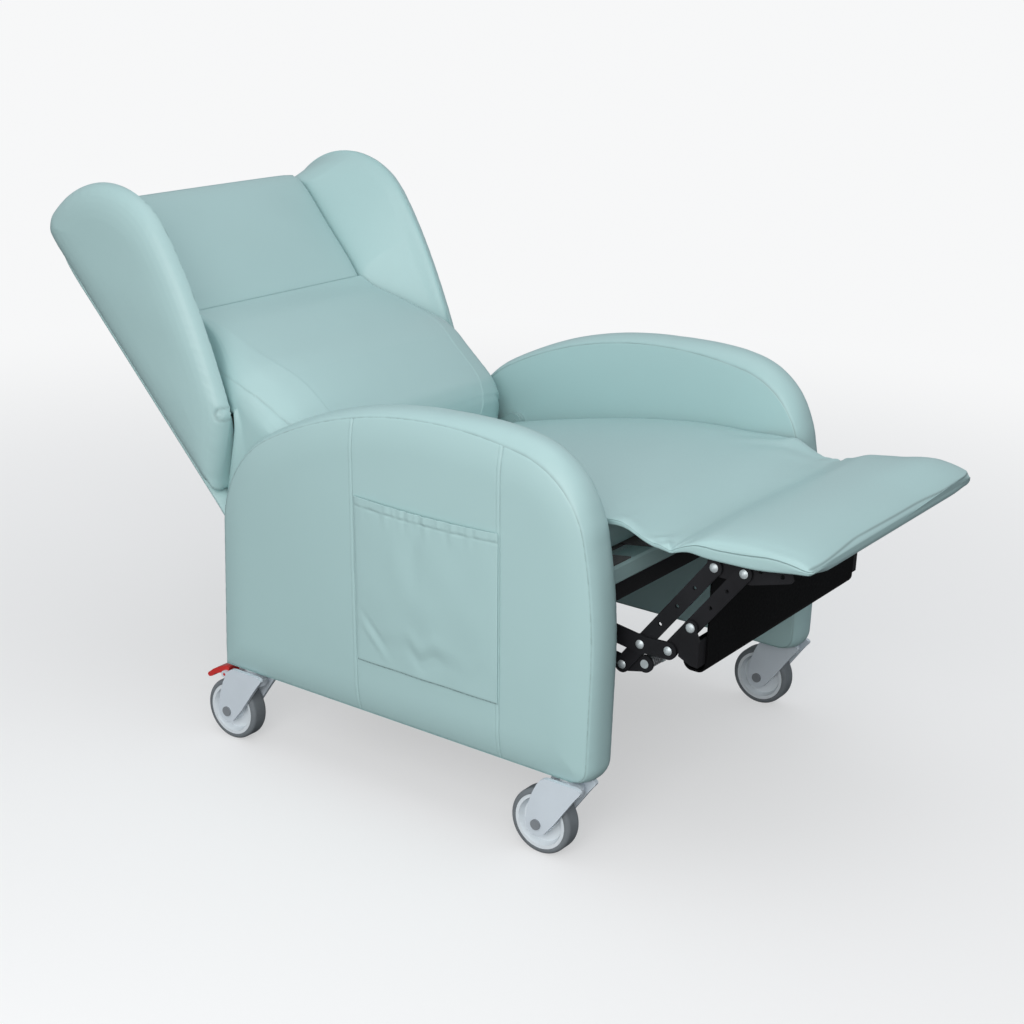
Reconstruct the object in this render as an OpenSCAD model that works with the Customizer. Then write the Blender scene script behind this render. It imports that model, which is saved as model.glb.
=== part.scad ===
// Wing-back medical recliner on four casters, shown reclined with its footrest out.
// X runs across the chair (+X is the sitter's left), -Y is the front, +Z is up.
// Side profiles are drawn as [forward, height], where forward is 0 near the side panels' rear edge.

/* [Side panels] */
// Length of a side panel along its seam
panel_length = 680; // [600:5:760]
// Height of the seam at the top of the arm
arm_height = 599.6; // [560:1:640]
// Height of the side panel's lower edge above the floor
panel_bottom = 127; // [120:1:150]
// Thickness between the outer and inner seams
panel_thick = 64; // [58:1:90]
// Distance between the two inner seams
seat_gap = 564; // [520:2:640]
// Radius of the arm's rear shoulder
shoulder_r = 176; // [140:1:220]
// Radius of the arm's front nose
nose_r = 138.5; // [110:0.5:170]
// Radius of the long front edge
front_r = 811; // [600:1:1000]
// How far the padded edge band swells past the seams
band_crown = 8; // [4:0.5:12]
// How far the outer face swells past its seam
face_crown = 8; // [4:0.5:12]
// How far the inner face swells past its seam
inner_crown = 2; // [1:0.5:4]
// Thickness of the timber core inside each side panel
core_thick = 48; // [40:1:52]
// Padding between the panel's seam and its timber core
core_margin = 16; // [12:1:24]

/* [Pocket] */
// Forward position of the pocket's rear edge
pocket_rear = 256; // [200:1:320]
// Length of the pocket
pocket_length = 260; // [180:1:300]
// Height of the pocket's lower seam
pocket_low = 213; // [190:1:260]
// Height of the pocket from seam to hem
pocket_height = 253; // [180:1:280]
// Thickness of the pocket's cloth
pocket_cloth = 1.6; // [1.2:0.1:2.5]
// How far the pocket's mouth stands open
pocket_slack = 6.2; // [5.5:0.1:8]

/* [Seat] */
// Height of the seat's side edge at its front
seat_height = 493; // [470:1:510]
// Drop of the seat from its front to its rear
seat_drop = 76; // [60:1:90]
// Crown of the seat between its side edges
seat_crown = 9; // [4:1:14]
// Forward position of the seat cushion's front face
seat_front = 640; // [610:1:650]
// Forward position of the seat cushion's rear face
seat_rear = 108; // [104:1:120]
// Height of the seat deck at its rear
deck_rear_z = 335; // [325:1:345]
// Height of the seat deck at its front
deck_front_z = 415; // [408:1:425]
// Thickness of the side rails
rail_thick = 22; // [18:1:22]
// Depth of the side rails
rail_depth = 50; // [40:1:60]
// Width of one web strap
strap_width = 52; // [40:1:60]
// Thickness of one web strap
strap_thick = 2; // [1.5:0.1:3]
// Number of straps that run across
cross_straps = 6; // [4:1:7]
// Number of straps that run front to back
long_straps = 5; // [3:1:7]
// Side of the square steel cross rail
cross_rail = 30; // [25:1:32]
// Wall of the steel cross rail
cross_rail_wall = 2; // [1.5:0.1:3]

/* [Backrest] */
// Recline of the backrest from upright at rest
recline = 44; // [40:1:48]
// Forward position of the backrest's foot
back_foot_f = 70; // [66:1:74]
// Height of the backrest's foot
back_foot_z = 350; // [346:1:354]
// Height of the backrest along its own slope
back_height = 650; // [600:5:700]
// Distance of the head and lumbar seam from the foot
head_seam = 397; // [370:1:420]
// Half width of the cushions between the wings
cushion_half = 211; // [200:1:225]
// Half width of the backrest outside the wings
wing_half = 325; // [310:1:340]
// How far forward of the back's datum the wings reach
wing_reach = 131; // [115:1:145]
// How far forward of the back's datum the wings' lower corner lies
wing_waist = 41; // [34:1:48]
// Distance of the wings' widest point from the foot
wing_belly = 505; // [490:1:515]
// How strongly the wings' front edge bows below that point
wing_bow = 1.45; // [1.2:0.05:1.6]
// Swell of the lumbar cushion past its side edges
lumbar_crown = 12; // [6:1:18]
// How far the lumbar cushion's side edges are rounded
lumbar_round = 58; // [35:1:64]
// Depth of the timber back frame
frame_depth = 48; // [40:1:50]
// Width of a back frame stile
stile_width = 44; // [36:1:60]
// Thickness of the padded outside back
outside_back_thick = 8; // [5:0.5:12]
// Thickness of the boards inside the wings
wing_board = 15; // [12:1:18]

/* [Back pivot] */
// Forward position of the back's pivot
back_pivot_f = 105; // [100:1:108]
// Height of the back's pivot
back_pivot_z = 415; // [410:1:420]
// Radius of the back's pivot pin
back_pin_r = 8; // [6:0.5:9]
// Thickness of the arm that carries the back
back_arm_thick = 4; // [3:0.5:5]

/* [Footrest] */
// How far the footrest pad reaches behind its rear pin
foot_behind_pin = 38; // [33:1:45]
// Length of the footrest pad
foot_length = 190; // [180:1:220]
// Half width of the footrest pad
foot_half = 266; // [240:1:270]
// Height of the footrest pad's seam
foot_seam_z = 486; // [482:1:490]
// Crown of the footrest pad above its seam
foot_crown = 30; // [20:1:36]
// Thickness of the footrest board
foot_board = 12; // [9:1:15]
// Height of the footrest board's underside
foot_board_z = 475; // [470:1:478]
// Depth of the slack between the seat and the footrest
calf_dip = 13; // [6:1:20]
// Thickness of the calf panel
calf_thick = 13; // [8:1:16]

/* [Footrest linkage] */
// Forward position of the upper link's pivot
pivot_a_f = 538; // [530:1:545]
// Height of the upper link's pivot
pivot_a_z = 340; // [335:1:345]
// Forward offset of the lower pivot behind the upper one
pivot_b_back = 30; // [26:1:34]
// Drop of the lower pivot under the upper one
pivot_b_drop = 40; // [38:1:44]
// Forward reach of the swing links to the long link
swing_f = 153; // [145:1:160]
// Drop of the swing links over that reach
swing_z = -23; // [-30:1:-15]
// Distance from the long link's pin to the front link's pin
toe_f = 45; // [42:1:50]
// Rise between those two pins
toe_z = 2; // [0:1:6]
// Forward reach of the long link above its crossing
reach_f = 104; // [100:1:110]
// Rise of the long link above its crossing
reach_z = 137; // [134:1:140]
// Forward offset of the spring stud from the lower link's pin
stud_f = 34; // [30:1:40]
// Rise of the spring stud over the lower link's pin
stud_z = 8; // [0:1:14]
// Width of the swing links
swing_width = 28; // [24:1:30]
// Width of the long and front links
bar_width = 24; // [20:1:24]
// Thickness of the steel links
link_thick = 4; // [3:0.5:5]
// Running gap between neighbouring links
link_gap = 1; // [0.5:0.1:1.5]
// Radius of the pivot studs
stud_r = 6; // [5:0.5:7]
// Radius of the link rivets
rivet_r = 5; // [4:0.5:6]
// Radius of a rivet head
rivet_head_r = 6.5; // [6:0.5:8]
// Height of a rivet's domed head
rivet_head = 2.5; // [1.5:0.1:2.7]
// Radius of the torque tube
tube_r = 13; // [11.5:0.5:15]
// Wall of the torque tube
tube_wall = 3; // [2:0.5:3]

/* [Front board] */
// Half width of the black front board
board_half = 232; // [200:1:236]
// Forward position of the front board's face
board_face = 787; // [780:1:800]
// Height of the front board's lower edge
board_low = 291; // [280:1:300]
// Height of the front board's upper edge
board_high = 430; // [400:1:440]
// Sheet thickness of the front board
board_sheet = 3; // [2:0.5:4]
// Outer radius of the front board's bends
board_bend = 14; // [10:1:18]

/* [Springs] */
// Number of turns in a stud spring
spring_turns = 7; // [5:1:9]
// Middle radius of a stud spring
spring_r = 9; // [8:0.5:11]
// Wire diameter of a stud spring
spring_wire = 2.6; // [2:0.1:3]
// Distance from turn to turn
spring_pitch = 4.6; // [4:0.1:5.5]

/* [Casters] */
// Diameter of a caster wheel
wheel_d = 100; // [90:1:102]
// Width of a caster wheel
wheel_width = 30; // [26:1:32]
// Thickness of the tyre
tyre_depth = 8; // [7:0.5:12]
// Distance from the stem to the axle behind it
caster_trail = 35; // [30:1:40]
// Distance of the caster from the chair's middle
caster_x = 333; // [326:1:334]
// Distance of the front axles behind the side panels' front edge
front_axle_back = 80; // [74:1:90]
// Forward position of the rear axles
rear_axle_f = 2.6; // [0:0.2:12]
// Radius of the axle
axle_r = 4; // [3:0.5:5]
// Thickness of a fork's side arm
fork_arm = 7; // [5:0.5:7]
// Radius of the fork's head, between its arms
fork_head_r = 24; // [23:0.5:26]
// Radius of the fork's eye round the axle
fork_eye_r = 18; // [15:0.5:20]
// Radius of the stem
stem_r = 5.5; // [4:0.5:5.5]
// Width of the brake pedal
pedal_width = 24; // [18:1:26]
// Length of the brake pedal
pedal_length = 58; // [48:1:62]

/* [Clearances] */
// Gap between soft pieces and between parts that only rest on each other
seat_clear = 0.3; // [0.2:0.05:0.4]
// Radial gap of a turning pin in its bore
pin_clear = 0.08; // [0.05:0.01:0.1]
// Radial gap of the loop pins, which close the linkage
loop_clear = 0.25; // [0.2:0.05:0.4]

/* [Hidden] */

vinyl = [0.66, 0.80, 0.79];
timber = [0.78, 0.66, 0.47];
black_steel = [0.07, 0.07, 0.08];
zinc = [0.72, 0.73, 0.74];
fork_white = [0.80, 0.83, 0.85];
tyre_grey = [0.42, 0.44, 0.46];
pedal_red = [0.75, 0.16, 0.15];
web_grey = [0.25, 0.26, 0.27];

$fn = 48;

// Distance from the origin back to the side panels' datum
rear_y = 257;
front_axle_f = panel_length - front_axle_back;
seam_in = seat_gap / 2;
seam_out = seam_in + panel_thick;
inner_face = seam_in - inner_crown;
outer_face = seam_out + face_crown;
// The core sits nearer the outer face, where the casters' stems enter it
core_out = seam_out - 5.5;

// Averages, limits and easing
function mean(list) = [for (k = [0 : len(list[0]) - 1]) sum([for (p = list) p[k]]) / len(list)];
function sum(list, i = 0) = i >= len(list) ? 0 : list[i] + sum(list, i + 1);
function unit(v) = v / norm(v);
function clamp(v, low, high) = min(max(v, low), high);
function smooth(v) = let (t = clamp(v, 0, 1)) t * t * (3 - 2 * t);
function mix(a, b, t) = a + (b - a) * t;

// Outward normals of a closed outline that runs clockwise
function outline_normal(line, i) =
  let (n = len(line), d = line[(i + 1) % n] - line[(i + n - 1) % n])
  unit([-d[1], d[0]]);
function inset_line(line, d) = [for (i = [0 : len(line) - 1]) line[i] - d * outline_normal(line, i)];

// Side wall between rings of equal count, closed at both ends by a fan
module loft(rings) {
  n = len(rings[0]);
  m = len(rings);
  points = concat([for (r = rings) each r], [mean(rings[0]), mean(rings[m - 1])]);
  wall = [
    for (j = [0 : m - 2]) for (i = [0 : n - 1])
      let (a = j * n + i, b = j * n + (i + 1) % n)
      each [[a, b, b + n], [a, b + n, a + n]]
  ];
  first = [for (i = [0 : n - 1]) [n * m, (i + 1) % n, i]];
  last = [for (i = [0 : n - 1]) [n * m + 1, (m - 1) * n + i, (m - 1) * n + (i + 1) % n]];
  polyhedron(points, concat(wall, first, last));
}

// Extrudes a side profile inward from x_out on the sitter's left
module profile(x_out, thick) {
  translate([x_out, rear_y, 0]) rotate([90, 0, -90]) linear_extrude(thick) children();
}

// Round bar across the chair at a side profile's point
module cross_pin(at, x_in, x_out, r) {
  translate([x_in, rear_y - at[0], at[1]]) rotate([0, 90, 0]) cylinder(r = r, h = x_out - x_in);
}

module to_right() {
  mirror([1, 0, 0]) children();
}

module both_sides() {
  children();
  to_right() children();
}

// Backrest frame: local Z climbs along the back and local -Y is its front
module on_back() {
  translate([0, rear_y - back_foot_f, back_foot_z]) rotate([-recline, 0, 0]) children();
}

// Side panels

// Arc through a heading change, from a start point; heading 0 climbs and 90 runs forward
function arc_step(p, r, h0, h1, steps) =
  let (c = p + r * [cos(h0), -sin(h0)])
  [for (k = [1 : steps]) let (h = mix(h0, h1, k / steps)) c + r * [-cos(h), sin(h)]];

shoulder_turn = 60.7;
top_turn = 101.8;
nose_turn = 166.6;
panel_rear = -8;
panel_front = panel_rear + panel_length;
panel_corner = 22;
// The long top radius takes up what the other arcs leave of the length
top_r = (panel_length - shoulder_r * (1 - cos(shoulder_turn)) - nose_r * (cos(top_turn) - cos(nose_turn))
  - front_r * (1 + cos(nose_turn))) / (cos(shoulder_turn) - cos(top_turn));
shoulder_z = arm_height - shoulder_r * sin(shoulder_turn) - top_r * (1 - sin(shoulder_turn));

function side_outline() =
  let (
    start = [panel_rear, shoulder_z],
    shoulder = arc_step(start, shoulder_r, 0, shoulder_turn, 5),
    top = arc_step(shoulder[4], top_r, shoulder_turn, top_turn, 6),
    nose = arc_step(top[5], nose_r, top_turn, nose_turn, 7),
    front = arc_step(nose[6], front_r, nose_turn, 180, 3),
    corner = arc_step([panel_front, panel_bottom + panel_corner], panel_corner, 180, 270, 3)
  )
  concat([start], shoulder, top, nose, front, [[panel_front, panel_bottom + panel_corner]], corner,
    [[panel_front * 0.7, panel_bottom], [panel_front * 0.35, panel_bottom], [panel_rear, panel_bottom],
     [panel_rear, mix(panel_bottom, shoulder_z, 0.5)]]);

// Ring of the outline at a distance x, moved out past the seam by swell except along the flat bottom
function side_ring(line, x, inset) = [
  for (i = [0 : len(line) - 1])
    let (n = outline_normal(line, i), d = (inset < 0 && n[1] < -0.5) ? 0 : inset, p = line[i] - d * n)
    [x, rear_y - p[0], p[1]]
];

module side_cover() {
  line = side_outline();
  stations = [
    [outer_face, 56], [outer_face - 0.08 * face_crown, 34], [outer_face - 0.35 * face_crown, 14],
    [seam_out, 0], [seam_out - 3, -0.55 * band_crown], [seam_out - 10, -0.88 * band_crown],
    [(seam_out + seam_in) / 2, -band_crown],
    [seam_in + 10, -0.88 * band_crown], [seam_in + 3, -0.55 * band_crown], [seam_in, 0],
    [inner_face, 12]
  ];
  difference() {
    loft([for (s = stations) side_ring(line, s[0], s[1])]);
    profile(core_out + seat_clear, core_thick + 2 * seat_clear)
      polygon(inset_line(line, core_margin - seat_clear));
    for (f = [front_axle_f, rear_axle_f]) stem_hole(f);
  }
}

module stem_hole(axle_f) {
  translate([caster_x, rear_y - axle_f - caster_trail, panel_bottom - 5])
    cylinder(r = stem_r + seat_clear, h = stem_length + 5 + seat_clear);
}

module side_cover_right() {
  color(vinyl) to_right() side_cover();
}

module side_cover_left() {
  color(vinyl) side_cover();
}

module side_frames() {
  color(timber) both_sides() difference() {
    profile(core_out, core_thick) polygon(inset_line(side_outline(), core_margin));
    for (f = [front_axle_f, rear_axle_f]) stem_hole(f);
  }
}

// Pocket on the sitter's right: a sheet sewn down on three edges, slack at its mouth
pocket_cols = 8;
pocket_rows = 7;
function pocket_lift(u, v) =
  pocket_slack * pow(sin(180 * u), 0.45) * (0.15 + 0.85 * smooth(v * 2.2))
  + 0.5 * sin(180 * u) * sin(180 * v) * sin(900 * u);
function pocket_point(i, j, side) =
  let (
    u = i / pocket_cols,
    v = j / pocket_rows,
    lift = (i == 0 || i == pocket_cols || j == 0) ? 0 : pocket_lift(u, v),
    hem = (j == pocket_rows) ? 1.2 : 0,
    x = outer_face + seat_clear + lift + side * (pocket_cloth + hem)
  )
  [-x, rear_y - pocket_rear - u * pocket_length, pocket_low + v * pocket_height];

module side_pocket() {
  c = pocket_cols;
  r = pocket_rows;
  w = c + 1;
  sheet = w * (r + 1);
  points = [for (side = [0, 1]) for (j = [0 : r]) for (i = [0 : c]) pocket_point(i, j, side)];
  inner = [for (j = [0 : r - 1]) for (i = [0 : c - 1]) let (a = j * w + i)
    each [[a, a + 1, a + w], [a + 1, a + w + 1, a + w]]];
  outer = [for (f = inner) [f[0] + sheet, f[2] + sheet, f[1] + sheet]];
  rim = concat(
    [for (i = [0 : c - 1]) each [[i, i + 1 + sheet, i + 1], [i, i + sheet, i + 1 + sheet]]],
    [for (i = [0 : c - 1]) let (a = r * w + i, b = a + sheet) each [[a, a + 1, b + 1], [a, b + 1, b]]],
    [for (j = [0 : r - 1]) let (a = j * w, b = a + sheet) each [[a, a + w, b + w], [a, b + w, b]]],
    [for (j = [0 : r - 1]) let (a = j * w + c, b = a + sheet) each [[a, b + w, a + w], [a, b, b + w]]]
  );
  color(vinyl) polyhedron(points, concat(inner, outer, rim));
}

// Seat

// Height of the seat deck's line at a forward position
function deck(f) = mix(deck_rear_z, deck_front_z, (f - seat_rear) / (seat_front - seat_rear));
deck_tilt = atan2(deck_front_z - deck_rear_z, seat_front - seat_rear);
rail_in = inner_face - seat_clear - rail_thick;
front_rail_length = 40;
rail_front = seat_front - front_rail_length - seat_clear;

// Upper edge of the seat cushion at its sides
seat_top_f = 543;
function seat_edge(f) = f < seat_top_f
  ? seat_height - seat_drop * pow((seat_top_f - f) / (seat_top_f - 69), 1.32)
  : seat_height - 8 * pow((f - seat_top_f) / (seat_front - seat_top_f), 2);

// Rail under the deck between two forward positions, its top parallel to the deck
module deck_rail(x_out, thick, f0, f1, depth, lift = 0) {
  rise = [0, lift];
  rear = [f0, deck(f0)] + rise;
  front = [f1, deck(f1)] + rise;
  profile(x_out, thick) polygon([rear - [0, depth], rear, front, front - [0, depth]]);
}

module seat_front_rail() {
  x = inner_face - seat_clear;
  rear = rail_front + seat_clear;
  low = cross_rail_z + cross_rail + seat_clear;
  color(vinyl) profile(x, 2 * x) polygon([
    [rear, low], [rear, deck(rear) + strap_thick], [seat_front - 3, deck(seat_front - 3) + strap_thick],
    [seat_front, deck(seat_front) - 2], [seat_front, low + 3], [seat_front - 3, low]
  ]);
}

module seat_rails() {
  x = inner_face - seat_clear;
  color(timber) {
    both_sides() deck_rail(x, rail_thick, seat_rear, rail_front, rail_depth);
    deck_rail(plate_out, 2 * plate_out, seat_rear, seat_rear + 30, rail_depth, strap_thick);
  }
}

module seat_webbing() {
  rear = seat_rear + 30;
  span = rail_front - rear;
  half = inner_face - 6;
  step = span / cross_straps;
  inset = (step - strap_width) / 2;
  color(web_grey) {
    for (k = [0 : cross_straps - 1])
      let (f = rear + k * step + inset)
        deck_rail(half, 2 * half, f, f + strap_width * cos(deck_tilt), strap_thick, strap_thick + 0.1);
    for (k = [0 : long_straps - 1])
      let (x = (k - (long_straps - 1) / 2) * 2 * (half - strap_width) / (long_straps - 1))
        deck_rail(x + strap_width / 2, strap_width, seat_rear, seat_front - 4, strap_thick, 2 * strap_thick);
  }
}

// Cushion section across the chair: flat base, drawn-in sides and a crowned top
function pad_section(y, half, base, edge, crown, round) = [
  for (s = [1, -1])
    let (
      h = edge - base,
      right = [
        [0.5 * half, base], [half - 3, base], [half, base + 0.3 * h], [half - 2, base + 0.6 * h],
        [half - 0.25 * round, edge - 0.7 * round], [half - round, edge - 0.05 * round],
        [0.72 * half, edge + 0.55 * crown], [0.36 * half, edge + 0.93 * crown]
      ]
    )
    for (k = [0 : len(right) - 1])
      let (p = s > 0 ? right[k] : right[len(right) - 1 - k]) [s * p[0], y, p[1]]
];

seat_half = inner_face - 4;
module seat_cushion() {
  lift = 2 * strap_thick + seat_clear;
  stations = [1, 0.975, 0.93, 0.84, 0.72, 0.6, 0.48, 0.36, 0.24, 0.14, 0.06, 0.012, 0];
  color(vinyl) difference() {
    loft([
      for (t = stations)
        let (
          f = mix(seat_rear, seat_front, t),
          end = max(1 - smooth(t / 0.03), smooth((t - 0.955) / 0.045)),
          crown = seat_crown * smooth(t / 0.35) * (1 - 0.5 * end)
        )
        pad_section(rear_y - f, seat_half - 5 * end, deck(f) + lift, seat_edge(f) - 5 * end, crown, 22)
    ]);
    cross_pin([back_pivot_f, back_pivot_z], -seat_half - 10, seat_half + 10, pivot_sweep + 1.5);
    on_back() translate([-seat_half - 10, -pivot_t, pivot_s - pivot_sweep - 1.5])
      cube([2 * seat_half + 20, 110, 2 * pivot_sweep]);
  }
}

// Cross pieces of the base

cross_rail_f = 602;
cross_rail_z = 358;
stretcher_f = 20;
stretcher_z = 140;

module mechanism_rail() {
  x = plate_in - seat_clear;
  color(black_steel) profile(x, 2 * x) difference() {
    translate([cross_rail_f, cross_rail_z]) square(cross_rail);
    translate([cross_rail_f + cross_rail_wall, cross_rail_z + cross_rail_wall])
      square(cross_rail - 2 * cross_rail_wall);
  }
}

module rear_stretcher() {
  x = inner_face - seat_clear;
  color(timber) profile(x, 2 * x) translate([stretcher_f, stretcher_z]) square([25, 60]);
}

// Back pivot blocks on the side panels, each with its pin
module back_brackets() {
  at = [back_pivot_f, back_pivot_z];
  x_in = back_arm_out + link_gap;
  x_out = inner_face - seat_clear;
  color(black_steel) both_sides() {
    profile(x_out, x_out - x_in) difference() {
      union() {
        translate(at) circle(r = pivot_boss);
        translate([at[0] - pivot_boss, at[1] - 52])
          square([seat_rear - seat_clear - at[0] + pivot_boss, 52]);
      }
      for (dz = [-42, -28]) translate([at[0] - 8, at[1] + dz]) circle(r = 3.5);
    }
    cross_pin(at, back_arm_out - back_arm_thick - 1, x_in + 0.5, back_pin_r);
  }
}

// Plates that carry the footrest linkage, with its fixed studs

link_step = link_thick + link_gap;
plate_out = rail_in - seat_clear;
plate_in = plate_out - link_thick;
upper_out = plate_out - link_step;
bar_out = upper_out - link_step;
lower_out = bar_out - link_step;
lower_in = lower_out - link_thick;

pivot_a = [pivot_a_f, pivot_a_z];
pivot_b = pivot_a - [pivot_b_back, pivot_b_drop];
swing = [swing_f, swing_z];
toe = [toe_f, toe_z];
reach = [reach_f, reach_z];
cross_a = pivot_a + swing;
cross_b = pivot_b + swing;
toe_pin = cross_a + toe;
foot_pin = cross_a + reach;
foot_rear = foot_pin[0] - foot_behind_pin;
foot_pin_front = toe_pin + reach;
spring_stud = cross_b + [stud_f, stud_z];

module mechanism_plates() {
  rail_low = cross_rail_z + cross_rail;
  color(black_steel) both_sides() {
    profile(plate_out, link_thick) difference() {
      polygon([
        pivot_b + [-22, -14], pivot_b + [-22, 0], [pivot_b[0] - 22, deck(pivot_b[0] - 22) - 8],
        [rail_front - 4, deck(rail_front) - 8], [rail_front - 4, rail_low],
        [cross_rail_f + cross_rail + 4, rail_low], [cross_rail_f + cross_rail + 4, cross_rail_z + 4],
        [cross_rail_f + 18, cross_rail_z - 2],
        pivot_a + [26, -22], pivot_b + [16, -14]
      ]);
      for (f = [pivot_b[0] - 8, pivot_a[0] + 38]) translate([f, deck(f) - 24]) circle(r = 4);
    }
    cross_pin(pivot_a, upper_out - link_thick - 6, plate_in + 0.5, stud_r);
    cross_pin(pivot_a, upper_out - link_thick - 8, upper_out - link_thick - 6, stud_r + 2.5);
    cross_pin(pivot_b, lower_in - 1, plate_in + 0.5, stud_r);
    cross_pin(pivot_b, lower_in - 4, lower_in - 1, stud_r + 3);
    cross_pin(pivot_b, lower_out + link_gap / 2, plate_in, stud_r + 1);
  }
}

// Casters

axle_z = wheel_d / 2;
mount_plate = 3;
stem_length = 52;
head_low = wheel_d + 3;
head_top = panel_bottom - seat_clear - mount_plate - seat_clear;
kingpin_r = 6;
// Thickness of the fork's head under the kingpin
head_floor = 4;

module caster_mounts() {
  color(zinc) both_sides() for (f = [front_axle_f, rear_axle_f])
    translate([caster_x, rear_y - f - caster_trail, 0]) {
      translate([0, 0, panel_bottom - seat_clear - mount_plate]) cylinder(r = 13, h = mount_plate);
      translate([0, 0, panel_bottom - seat_clear - 0.5]) cylinder(r = stem_r, h = stem_length);
      translate([0, 0, head_low + head_floor])
        cylinder(r = kingpin_r, h = head_top - head_low - head_floor + seat_clear + 0.5);
    }
}

// Moves a caster's own frame, whose axle runs along X through the origin, to its place
module at_caster(front, right) {
  f = front ? front_axle_f : rear_axle_f;
  x = right ? -caster_x : caster_x;
  translate([x, rear_y - f, axle_z]) children();
}

fork_in = wheel_width / 2 + 2;
fork_out = fork_in + fork_arm;
// Height of the fork arms' upper edge above the axle, just under the panel
arm_top = panel_bottom - axle_z - 2;

// Side profile in a caster's own frame, [forward, height], extruded from x_low over thick
module caster_profile(x_low, thick) {
  translate([x_low + thick, 0, 0]) rotate([90, 0, -90]) linear_extrude(thick) children();
}

// A fork arm sweeps forward and widens from its eye up to the panel
module fork_arm_shape() {
  r = fork_eye_r;
  nose = caster_trail + 36;
  circle(r = r);
  polygon([
    [-r, 0], [0.1 - r, arm_top * 0.08], [1.5 - r, arm_top * 0.25], [4.5 - r, arm_top * 0.44],
    [9 - r, arm_top * 0.63], [16 - r, arm_top * 0.83], [22 - r, arm_top * 0.94], [27 - r, arm_top * 0.985],
    [33 - r, arm_top], [nose - 10, arm_top], [nose - 4, arm_top - 1], [nose - 0.6, arm_top - 3.6],
    [nose, arm_top - 6], [nose - 1.4, arm_top - 8.6], [nose - 6, arm_top * 0.81],
    [nose - 13, arm_top * 0.68], [nose - 22, arm_top * 0.5], [nose - 31.5, arm_top * 0.31],
    [nose - 41, arm_top * 0.12], [0.8 * r, -0.6 * r], [0, 0]
  ]);
}

module caster_fork(brake) {
  low = head_low - axle_z;
  top = head_top - axle_z;
  difference() {
    union() {
      translate([0, -caster_trail, 0]) rotate_extrude() polygon([
        [0, low], [fork_head_r, low], [fork_head_r, low + 9], [fork_head_r - 2, low + 12.5],
        [fork_head_r - 6, low + 15.5], [fork_head_r - 12, low + 17.5], [11, low + 18], [11, top], [0, top]
      ]);
      for (x = [-fork_out, fork_in]) caster_profile(x, fork_arm) fork_arm_shape();
      if (brake) for (x = [-pedal_ear_out, pedal_ear_in]) caster_profile(x, pedal_ear_out - pedal_ear_in) {
        translate(pedal_pivot) circle(r = 6);
        translate([pedal_pivot[0], pedal_pivot[1] - 6]) square([caster_trail - 14 - pedal_pivot[0], 12]);
      }
    }
    translate([0, -caster_trail, low + head_floor - seat_clear])
      cylinder(r = kingpin_r + pin_clear, h = 40);
    translate([-fork_out - 1, 0, 0]) rotate([0, 90, 0])
      cylinder(r = axle_r + pin_clear, h = 2 * fork_out + 2);
    if (brake) {
      translate([-pedal_ear_out - 1, -pedal_pivot[0], pedal_pivot[1]]) rotate([0, 90, 0])
        cylinder(r = pedal_pin_r + pin_clear, h = 2 * pedal_ear_out + 2);
      translate([-pedal_ear_in, -caster_trail + fork_head_r - 8, low - 1]) cube([2 * pedal_ear_in, 40, 30]);
    }
  }
}

pedal_ear_in = pedal_width / 2 + 0.4;
pedal_ear_out = fork_in + 0.5;
pedal_pin_r = 2.5;
pedal_pivot = [-12, 58];

module brake_pedal() {
  f = pedal_pivot[0];
  z = pedal_pivot[1];
  tip = f - pedal_length + 18;
  caster_profile(-pedal_width / 2, pedal_width) {
    translate(pedal_pivot) circle(r = 5.5);
    polygon([
      [f + 4, z + 4], [f + 6, z + 12], [f, z + 13.5], [f - 14, z + 8], [f - 28, z + 0.5], [tip, z - 9],
      [tip - 1.5, z - 13], [tip + 2, z - 15.5], [tip + 8, z - 13.5], [f - 24, z - 7], [f - 12, z - 2],
      [f - 4, z - 3]
    ]);
  }
  translate([-pedal_ear_out, -f, z]) rotate([0, 90, 0]) cylinder(r = pedal_pin_r, h = 2 * pedal_ear_out);
}

module caster_axle() {
  head = 2.5;
  head_r = 8;
  rotate([0, 90, 0]) {
    translate([0, 0, -fork_out - seat_clear]) cylinder(r = axle_r, h = 2 * (fork_out + seat_clear));
    translate([0, 0, fork_out + seat_clear]) cylinder(r = head_r, h = head);
    translate([0, 0, -fork_out - seat_clear - head]) cylinder(r = head_r, h = head);
  }
}

rim_r = wheel_d / 2 - tyre_depth;
module caster_rim() {
  half = wheel_width / 2;
  hub = half + 1.5;
  rotate([0, 90, 0]) rotate_extrude() polygon([
    [axle_r + pin_clear, -hub], [14, -hub], [16, -hub + 2], [18, -4], [rim_r - 9, -4],
    [rim_r - 5, -half + 1], [rim_r, -half + 1], [rim_r, half - 1], [rim_r - 5, half - 1],
    [rim_r - 9, 4], [18, 4], [16, hub - 2], [14, hub], [axle_r + pin_clear, hub]
  ]);
}

module caster_tyre() {
  half = wheel_width / 2;
  r = wheel_d / 2;
  shoulder = min(6, tyre_depth - 1.5);
  rotate([0, 90, 0]) rotate_extrude() difference() {
    union() {
      translate([rim_r + 0.1, -half + shoulder]) square([r - rim_r - 0.1, 2 * (half - shoulder)]);
      translate([rim_r + 0.1, -half]) square([r - shoulder - rim_r - 0.1, 2 * half]);
      for (s = [-1, 1]) translate([r - shoulder, s * (half - shoulder)]) circle(r = shoulder);
    }
    translate([-1, -half - 1]) square([rim_r + 1.1, 2 * half + 2]);
  }
}

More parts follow.
